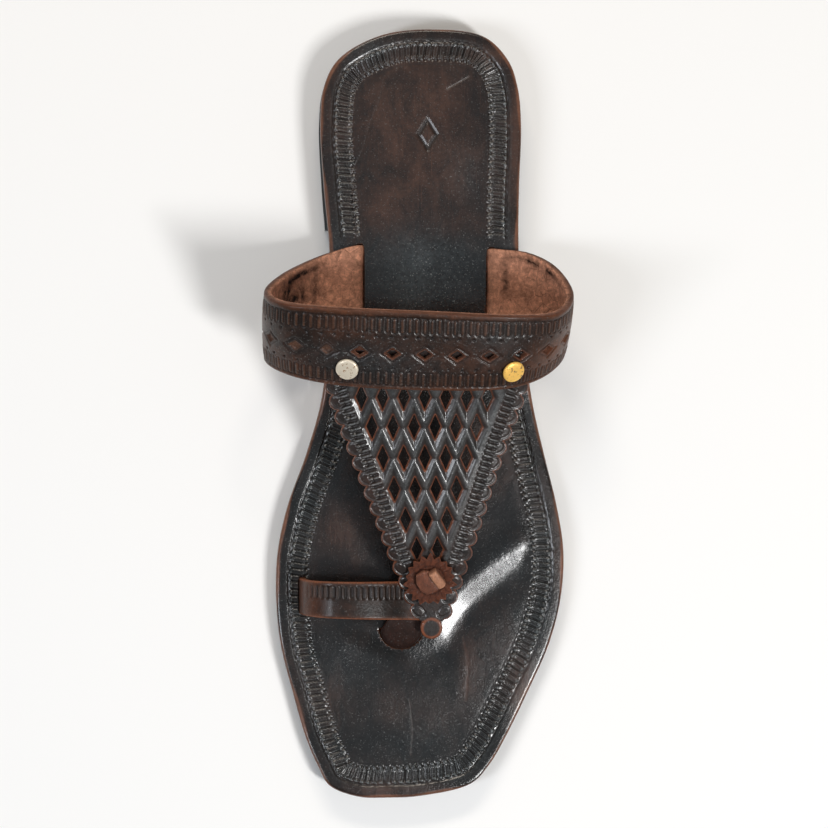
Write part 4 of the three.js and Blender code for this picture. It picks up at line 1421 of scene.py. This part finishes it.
def loop_edge(column):
    points = [(row[0], row[column], float(insole_height(row[0], row[column])) + row[3]) for row in LOOP_ROWS]
    x, y, z = points[0]
    return [(x, y, z - FOOT_DEPTH), *points]


loop_heel, loop_toe = loop_edge(1), loop_edge(2)


def loop_place(along, across):
    return curve_at(loop_heel, along) * (1 - across)[:, None] + curve_at(loop_toe, along) * across[:, None]


loop_line = loop_place(even_share, np.full(4001, 0.5))
loop_length = walked(loop_line)
LOOP_RUN = loop_length[-1]
loop_leather = leather(
    "waxed brown hide, toe loop",
    dict(
        black="#18110d", brown="#523020", painted_sheen="#34302e", groove_dye_and_shade="#120b09",
        ridge_highlight="#4f3e34", edge="#93583c", flesh="#a8714f",
    ),
    (6.0, 5.0, 6.0), 0.33, 0.12, 0.24,
)


def loop_marks(flat, along, across):
    x, y = flat[:, 0], flat[:, 1]
    worn = 0.8 * (1 - ease(12, 30, x)) + 0.5 * ease(LOOP_RUN - 18, LOOP_RUN - 8, x)
    worn = worn + 0.8 * np.exp(-((np.minimum(y, LOOP_WIDTH - y) / 0.9) ** 2))
    return {
        "run": (x + 0.12 * np.sin(x * 1.1), 0),
        "inset": (y, 0),
        "press": (ease(14, 20, x) * (1 - ease(LOOP_RUN - 14, LOOP_RUN - 10, x)), 0),
        "worn": (worn, 0),
    }


toe_loop = strap_piece(
    "toe_loop",
    loop_place,
    LOOP_THICK,
    rectangle((0, 0), (LOOP_RUN, LOOP_WIDTH), 0.7),
    [],
    spread((0.3, 0.3), (LOOP_RUN, LOOP_WIDTH - 0.2), 0.42),
    spread((0.3, 0.3), (LOOP_RUN, LOOP_WIDTH), 1.2),
    lambda flat: (np.interp(flat[:, 0], loop_length, even_share), np.clip(flat[:, 1] / LOOP_WIDTH, 0, 1)),
    loop_marks,
)
strike(
    toe_loop,
    loop_leather,
    [
        tool(3.6, 2.1, 0.3, -0.5, 1.0, pitch=2.0, soft=0.27),
        tool(3.6, 1.9, 0.3, 0.2, -0.4, pitch=2.0, start=1.0),
    ],
)
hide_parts("upper")
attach(toe_loop, "root")


# ---------------------------------------------------------------------------------------------------------
# Toe post: a scooped tongue of brown hide that comes up out of a crescent slit between the toes and goes back
# under the knot.
# ---------------------------------------------------------------------------------------------------------
POST_ROWS = np.array(
    [
        (7, 211, -FOOT_DEPTH, 6.3, 5.6),
        (7, 211, 0, 6.3, 5.6),
        (6.6, 210, 2.4, 6.3, 5.2),
        (5, 206.6, 5.6, 6.1, 3.6),
        (2, 202, 8, 5.8, 1.8),
        (-2, 197, 8.9, 5.2, 0.6),
    ]
)
post_middle = [(x, y, float(insole_height(x, y)) + up) for x, y, up, _, _ in POST_ROWS]
post_shape = [(half, bulge, number) for number, (_, _, _, half, bulge) in enumerate(POST_ROWS)]


def post_place(along, across):
    middle, form = curve_at(post_middle, along), curve_at(post_shape, along)
    angle = np.pi * (across - 0.5)
    middle[:, 0] += form[:, 0] * np.sin(angle)
    middle[:, 1] += form[:, 1] * np.cos(angle)
    return middle


post_leather = leather(
    "brown hide, toe post",
    dict(
        black="#201511", brown="#3f231a", painted_sheen="#2a2320", groove_dye_and_shade="#120b09",
        ridge_highlight="#3f2c22", edge="#6d3a27", flesh="#6a4331",
    ),
    (5.0, 5.0, 5.0), 0.42, 0.1, 0.3,
)
POST_RUN, POST_WIDTH = 24.0, 16.0


def post_marks(flat, along, across):
    return {"run": (flat[:, 0], 0), "inset": (flat[:, 1], 0), "worn": (np.full(len(flat), 0.35), 0)}


toe_post = strap_piece(
    "toe_post",
    post_place,
    LOOP_THICK,
    rectangle((0, 0), (POST_RUN, POST_WIDTH), 0.6),
    [],
    spread((0.3, 0.3), (POST_RUN, POST_WIDTH), 0.7),
    spread((0.3, 0.3), (POST_RUN, POST_WIDTH), 1.2),
    lambda flat: (np.clip(flat[:, 0] / POST_RUN, 0, 1), np.clip(flat[:, 1] / POST_WIDTH, 0, 1)),
    post_marks,
    outward=-1.0,
)
strike(toe_post, post_leather, [tool(1.3, 0.2, 0.2, -0.15, 0.4, repeats=0)])
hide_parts("upper")
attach(toe_post, "root")


# ---------------------------------------------------------------------------------------------------------
# Rosette: a disc of thin red-brown split, pinked round its edge, which lies on the strap's tip and follows
# its fall. Creases run out to the teeth from where the thong pulls it down.
# ---------------------------------------------------------------------------------------------------------
ROSETTE = {"x": -1.8, "y": 192.4, "radius": 8.4, "teeth": 18, "notch": 1.6, "thick": 1.8}
BED_FALL = 1.12
bed_lift = BED_FALL * (POINTED_THICK / 2 + GAP + ROSETTE["thick"] / 2)


def pointed_height(y):
    """Height of the pointed strap's middle layer over the floor."""
    share = pointed_share(y)
    return insole_height(np.zeros(len(y)), y) + np.interp(share, pointed_shares, pointed_line[:, 2])


def rosette_layer(flat, side):
    reach = np.hypot(flat[:, 0], flat[:, 1]) / ROSETTE["radius"]
    angle = np.arctan2(flat[:, 1], flat[:, 0])
    y = flat[:, 1] + ROSETTE["y"]
    height = pointed_height(y) + bed_lift + side * 0.5 * ROSETTE["thick"] * 1.08
    ripple = 0.24 * np.sin(5 * angle + 1.0) + 0.16 * np.sin(11 * angle + 4 * reach)
    ripple += 0.12 * np.sin(17 * angle - 9 * reach)
    if side > 0:
        height += ripple * ease(0.45, 1, reach) - 0.55 * ease(0.8, 1.05, reach)
    return np.column_stack([flat[:, 0] + ROSETTE["x"], y, height])


teeth_angles = np.linspace(0, 2 * np.pi, ROSETTE["teeth"] * 12, endpoint=False)
teeth_wave = np.abs((teeth_angles * ROSETTE["teeth"] / (2 * np.pi) + 0.5) % 1 - 0.5) * 2
teeth_long = 1 + 0.28 * np.sin(3 * teeth_angles - 0.4) + 0.2 * np.sin(7 * teeth_angles)
teeth_reach = ROSETTE["radius"] + ROSETTE["notch"] * (teeth_wave * teeth_long - 0.6)
rosette_outline = np.column_stack([teeth_reach * np.cos(teeth_angles), teeth_reach * np.sin(teeth_angles)])


def rosette_marks(flat, loops):
    reach = np.hypot(flat[:, 0], flat[:, 1])
    cut = np.zeros(len(flat))
    cut[:loops] = 0.7
    tooth = np.arctan2(flat[:, 1], flat[:, 0]) * ROSETTE["teeth"] / (2 * np.pi)
    return {
        **plain_marks(flat),
        "run": (tooth + 0.12 * np.sin(reach * 2), 0),
        "inset": (reach, 0),
        "worn": (np.ones(len(flat)), 0),
        "cut": (cut, 1),
    }


split_leather = leather(
    "red-brown split leather, rosette",
    dict(
        black="#2a1811", brown="#582f1f", painted_sheen="#2a1811", groove_dye_and_shade="#1c0f0b",
        ridge_highlight="#8c5a40", edge="#7d4932", flesh="#6b4431",
    ),
    (2.2, 2.2, 2.2), 0.62, 0.0, 0.25,
)
rosette = solid_sheet(
    "pinked_rosette",
    rosette_outline,
    [],
    spread((-10, -10), (10, 10), 0.33),
    spread((-10, -10), (10, 10), 1.0),
    lambda flat: rosette_layer(flat, 1),
    lambda flat: rosette_layer(flat, -1),
    rosette_marks,
    clear=0.15,
)
strike(
    rosette,
    split_leather,
    [
        tool(6.4, 1.7, 0.08, -0.25, 0.45, pitch=1.0, start=0.5, soft=0.09),
        tool(5.0, 0.3, 0.3, -0.25, 0.5, repeats=0),
    ],
)
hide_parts("rosette")
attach(rosette, "root")


# ---------------------------------------------------------------------------------------------------------
# Knot: the end of a raw brown thong, pulled up through the rosette, folded flat over it and tucked under a
# short bar of the same thong.
# ---------------------------------------------------------------------------------------------------------
KNOT_SPIN = 0.6
KNOT_SEAT_Y = 190.4
KNOT_CLEARANCE = 0.5
FOLD = {"width": 6.8, "length": 8.8, "thick": 2.2, "aside": 1.6, "ahead": -0.6}
BAR = {"width": 3.2, "length": 7.0, "thick": 3.4, "aside": -2.4, "ahead": 0.0}

seat_heights = pointed_height(np.array([KNOT_SEAT_Y - 1.0, KNOT_SEAT_Y, KNOT_SEAT_Y + 1.0]))
seat_slope = (seat_heights[2] - seat_heights[0]) / 2
seat_normal = np.array([0, -seat_slope, 1]) / math.hypot(seat_slope, 1)
seat_ahead = np.array([0, 1, seat_slope]) / math.hypot(seat_slope, 1)
seat_aside = np.array([1.0, 0, 0])
knot_aside = seat_aside * math.cos(KNOT_SPIN) + seat_ahead * math.sin(KNOT_SPIN)
knot_ahead = seat_ahead * math.cos(KNOT_SPIN) - seat_aside * math.sin(KNOT_SPIN)
seat_x = np.interp(KNOT_SEAT_Y, pointed_line[:, 1], pointed_line[:, 0])
knot_lift = POINTED_THICK / 2 + 2 * GAP + ROSETTE["thick"] + KNOT_CLEARANCE
knot_seat = np.array([seat_x, KNOT_SEAT_Y, seat_heights[1]]) + seat_normal * knot_lift


def thong_piece(name, size, corners, top_shape, material, worn):
    """A flat length of thong seated on the rosette, with its upper face shaped by top_shape."""
    outline = np.array(corners, float) * (size["width"] / 2, size["length"] / 2)
    ring = np.vstack([outline, outline[:1]])
    even = walked(ring)
    want = np.linspace(0, even[-1], 110, endpoint=False)
    loop = np.column_stack([np.interp(want, even, ring[:, k]) for k in (0, 1)])

    def at(flat, height):
        aside = (flat[:, 0] + size["aside"])[:, None] * knot_aside
        ahead = (flat[:, 1] + size["ahead"])[:, None] * knot_ahead
        return knot_seat + aside + ahead + height[:, None] * seat_normal

    def marks(flat, loops):
        cut = np.zeros(len(flat))
        cut[:loops] = 0.6
        return {
            **plain_marks(flat, seat_normal),
            "run": (flat[:, 0], 0),
            "inset": (flat[:, 1], 0),
            "worn": (np.full(len(flat), worn), 0),
            "cut": (cut, 1),
        }

    def upper_face(flat):
        u, v = flat[:, 0] / (size["width"] / 2), flat[:, 1] / (size["length"] / 2)
        height = size["thick"] * top_shape(u, v)
        height[: len(loop)] -= 0.45
        return at(flat, height)

    fill = spread((-size["width"], -size["length"]), (size["width"], size["length"]), 0.25)
    piece = solid_sheet(
        name,
        loop,
        [],
        fill,
        fill[::6],
        upper_face,
        lambda flat: at(flat, np.zeros(len(flat))),
        marks,
        clear=0.2,
    )
    strike(piece, material, [{"place": 30.0, "depth": 0.0, "dye_and_painted_light": 0.0}])
    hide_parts("knot")
    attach(piece, "root")
    return piece


thong_leather = leather(
    "raw brown thong, folded end",
    dict(
        black="#3c2015", brown="#6e3f2b", painted_sheen="#4c2a1d", groove_dye_and_shade="#2b1710",
        ridge_highlight="#9a6a50", edge="#8a5a44", flesh="#6b4431",
    ),
    (2.6, 2.6, 2.6), 0.5, 0.1, 0.35,
)
bar_leather = leather(
    "raw brown thong, bar",
    dict(
        black="#7a4e3a", brown="#b07c5e", painted_sheen="#7a4e3a", groove_dye_and_shade="#3a2217",
        ridge_highlight="#b98a6c", edge="#9a6c54", flesh="#6b4431",
    ),
    (2.0, 2.0, 2.0), 0.5, 0.1, 0.35,
)


def folded_top(u, v):
    """The folded end slopes up ahead and has a crease with a soft lip beside it."""
    crease = 0.1 * np.exp(-(((u + 0.86) / 0.1) ** 2)) - 0.1 * np.exp(-(((u + 0.72) / 0.12) ** 2))
    return 0.72 + 0.16 * v - 0.12 * u**2 + crease


thong_piece(
    "thong_fold",
    FOLD,
    [(-0.9, 1), (-0.95, -0.7), (-0.5, -1), (0.45, -0.95), (0.95, -0.3), (1, 0.35), (0.7, 0.9), (0, 1)],
    folded_top,
    thong_leather,
    0.75,
)
thong_piece(
    "thong_bar",
    BAR,
    [(-0.95, -0.9), (-0.8, -1), (0.8, -1), (0.95, -0.9), (1, 0.85), (0.8, 1), (-0.6, 0.97), (-1, 0.8)],
    lambda u, v: 0.95 - 0.14 * u**2 - 0.08 * v**2,
    bar_leather,
    0.8,
)


# ---------------------------------------------------------------------------------------------------------
# Rivets: two turned metal rivets through the band and the corners of the strap, one nickel and one brass.
# Each has a low head with a flat worn face, a shank and a small tail.
# ---------------------------------------------------------------------------------------------------------
RIVET_HEAD = {"radius": 3.8, "rise": 1.15, "rim": 0.55}
RIVET_SHANK = 1.4
RIVET_TAIL = {"radius": 2.6, "rise": 0.8}
RIVET_GRIP = 7.6
RIVET_SIDES = 56
# Metal, node, shares along and across the band, and the colours of the metal and of its stains.
RIVETS = [
    ("nickel", "rivet_medial", 0.454, 0.75, "#ded2bd", "#8a6a4a"),
    ("brass", "rivet_lateral", 0.555, 0.74, "#fcc866", "#6b5232"),
]


def metal(name, tone, stain):
    """Stamped sheet metal, worn flat on top: bright with fine dents, and dark specks of old wax in them."""
    made = bpy.data.materials.new(name)
    made.use_nodes = True
    tree = made.node_tree
    shader = tree.nodes["Principled BSDF"]
    place = add(tree, "ShaderNodeTexCoord").outputs["Object"]
    specks = {"Vector": place, "Scale": 900.0, "Detail": 3.0, "Roughness": 0.6}
    speck = add(tree, "ShaderNodeTexNoise", specks)
    spots = add(tree, "ShaderNodeMapRange", {"Value": speck.outputs[0], "From Min": 0.56, "From Max": 0.66})
    in_spots = {0: spots.outputs[0], 6: linear(tone), 7: linear(stain)}
    colour = add(tree, "ShaderNodeMix", in_spots, data_type="RGBA")
    tree.links.new(colour.outputs[2], shader.inputs["Base Color"])
    bare = add(tree, "ShaderNodeMapRange", {"Value": spots.outputs[0], "To Min": 0.4, "To Max": 0.1})
    tree.links.new(bare.outputs[0], shader.inputs["Metallic"])
    dulling = {"Value": speck.outputs[0], "From Min": 0.3, "From Max": 0.7, "To Min": 0.32, "To Max": 0.55}
    rough = add(tree, "ShaderNodeMapRange", dulling)
    tree.links.new(rough.outputs[0], shader.inputs["Roughness"])
    dents = add(tree, "ShaderNodeTexNoise", {"Vector": place, "Scale": 500.0, "Detail": 2.0})
    bump = add(tree, "ShaderNodeBump", {"Height": dents.outputs[0], "Strength": 0.5, "Distance": 0.00025})
    tree.links.new(bump.outputs[0], shader.inputs["Normal"])
    return made


for metal_name, node, along, across, tone, stain in RIVETS:
    share = (np.array([along]), np.array([across]))
    seat = band_middle(*share)[0]
    axis = normals_of(band_middle, *share)[0]
    outside = BAND_THICK / 2 + GAP
    tail = outside - RIVET_GRIP
    radius = RIVET_HEAD["radius"]
    profile = [(0.0, tail - RIVET_TAIL["rise"]), (RIVET_TAIL["radius"], tail - RIVET_TAIL["rise"])]
    profile += [(RIVET_TAIL["radius"], tail), (RIVET_SHANK, tail), (RIVET_SHANK, outside)]
    profile.append((radius - 0.15, outside))
    profile += [(radius, outside + 0.12), (radius - 0.02, outside + RIVET_HEAD["rim"])]
    for angle in np.linspace(0.15, 1, 9) * math.pi / 2:
        out = (radius - 0.05) * math.cos(angle) ** 0.42
        dome = (RIVET_HEAD["rise"] - RIVET_HEAD["rim"]) * math.sin(angle)
        profile.append((out, outside + RIVET_HEAD["rim"] + dome))
    profile[-1] = (0.0, profile[-1][1])
    spin = np.linspace(0, 2 * np.pi, RIVET_SIDES, endpoint=False)
    one_side = np.cross(axis, [0.0, 1.0, 0.0])
    one_side /= np.linalg.norm(one_side)
    other_side = np.cross(axis, one_side)
    points, faces = [], []
    for out, rise in profile:
        if out == 0:
            points.append(seat + axis * rise)
            continue
        for angle in spin:
            way = one_side * math.cos(angle) + other_side * math.sin(angle)
            points.append(seat + axis * rise + out * way)
    for k in range(RIVET_SIDES):
        after = (k + 1) % RIVET_SIDES
        faces.append((0, 1 + after, 1 + k))
        for ring in range(len(profile) - 3):
            a = 1 + ring * RIVET_SIDES
            faces.append((a + k, a + after, a + RIVET_SIDES + after, a + RIVET_SIDES + k))
        last = 1 + (len(profile) - 3) * RIVET_SIDES
        faces.append((last + k, last + after, len(points) - 1))
    mesh = bpy.data.meshes.new("rivet_" + metal_name)
    mesh.from_pydata(((np.array(points) - SHIFT) * MM).tolist(), [], faces)
    mesh.shade_smooth()
    mesh.materials.append(metal(metal_name + ", stamped and worn", tone, stain))
    turned_rivet = bpy.data.objects.new("rivet_" + metal_name, mesh)
    bpy.context.collection.objects.link(turned_rivet)
    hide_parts(node)
    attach(turned_rivet, "root")
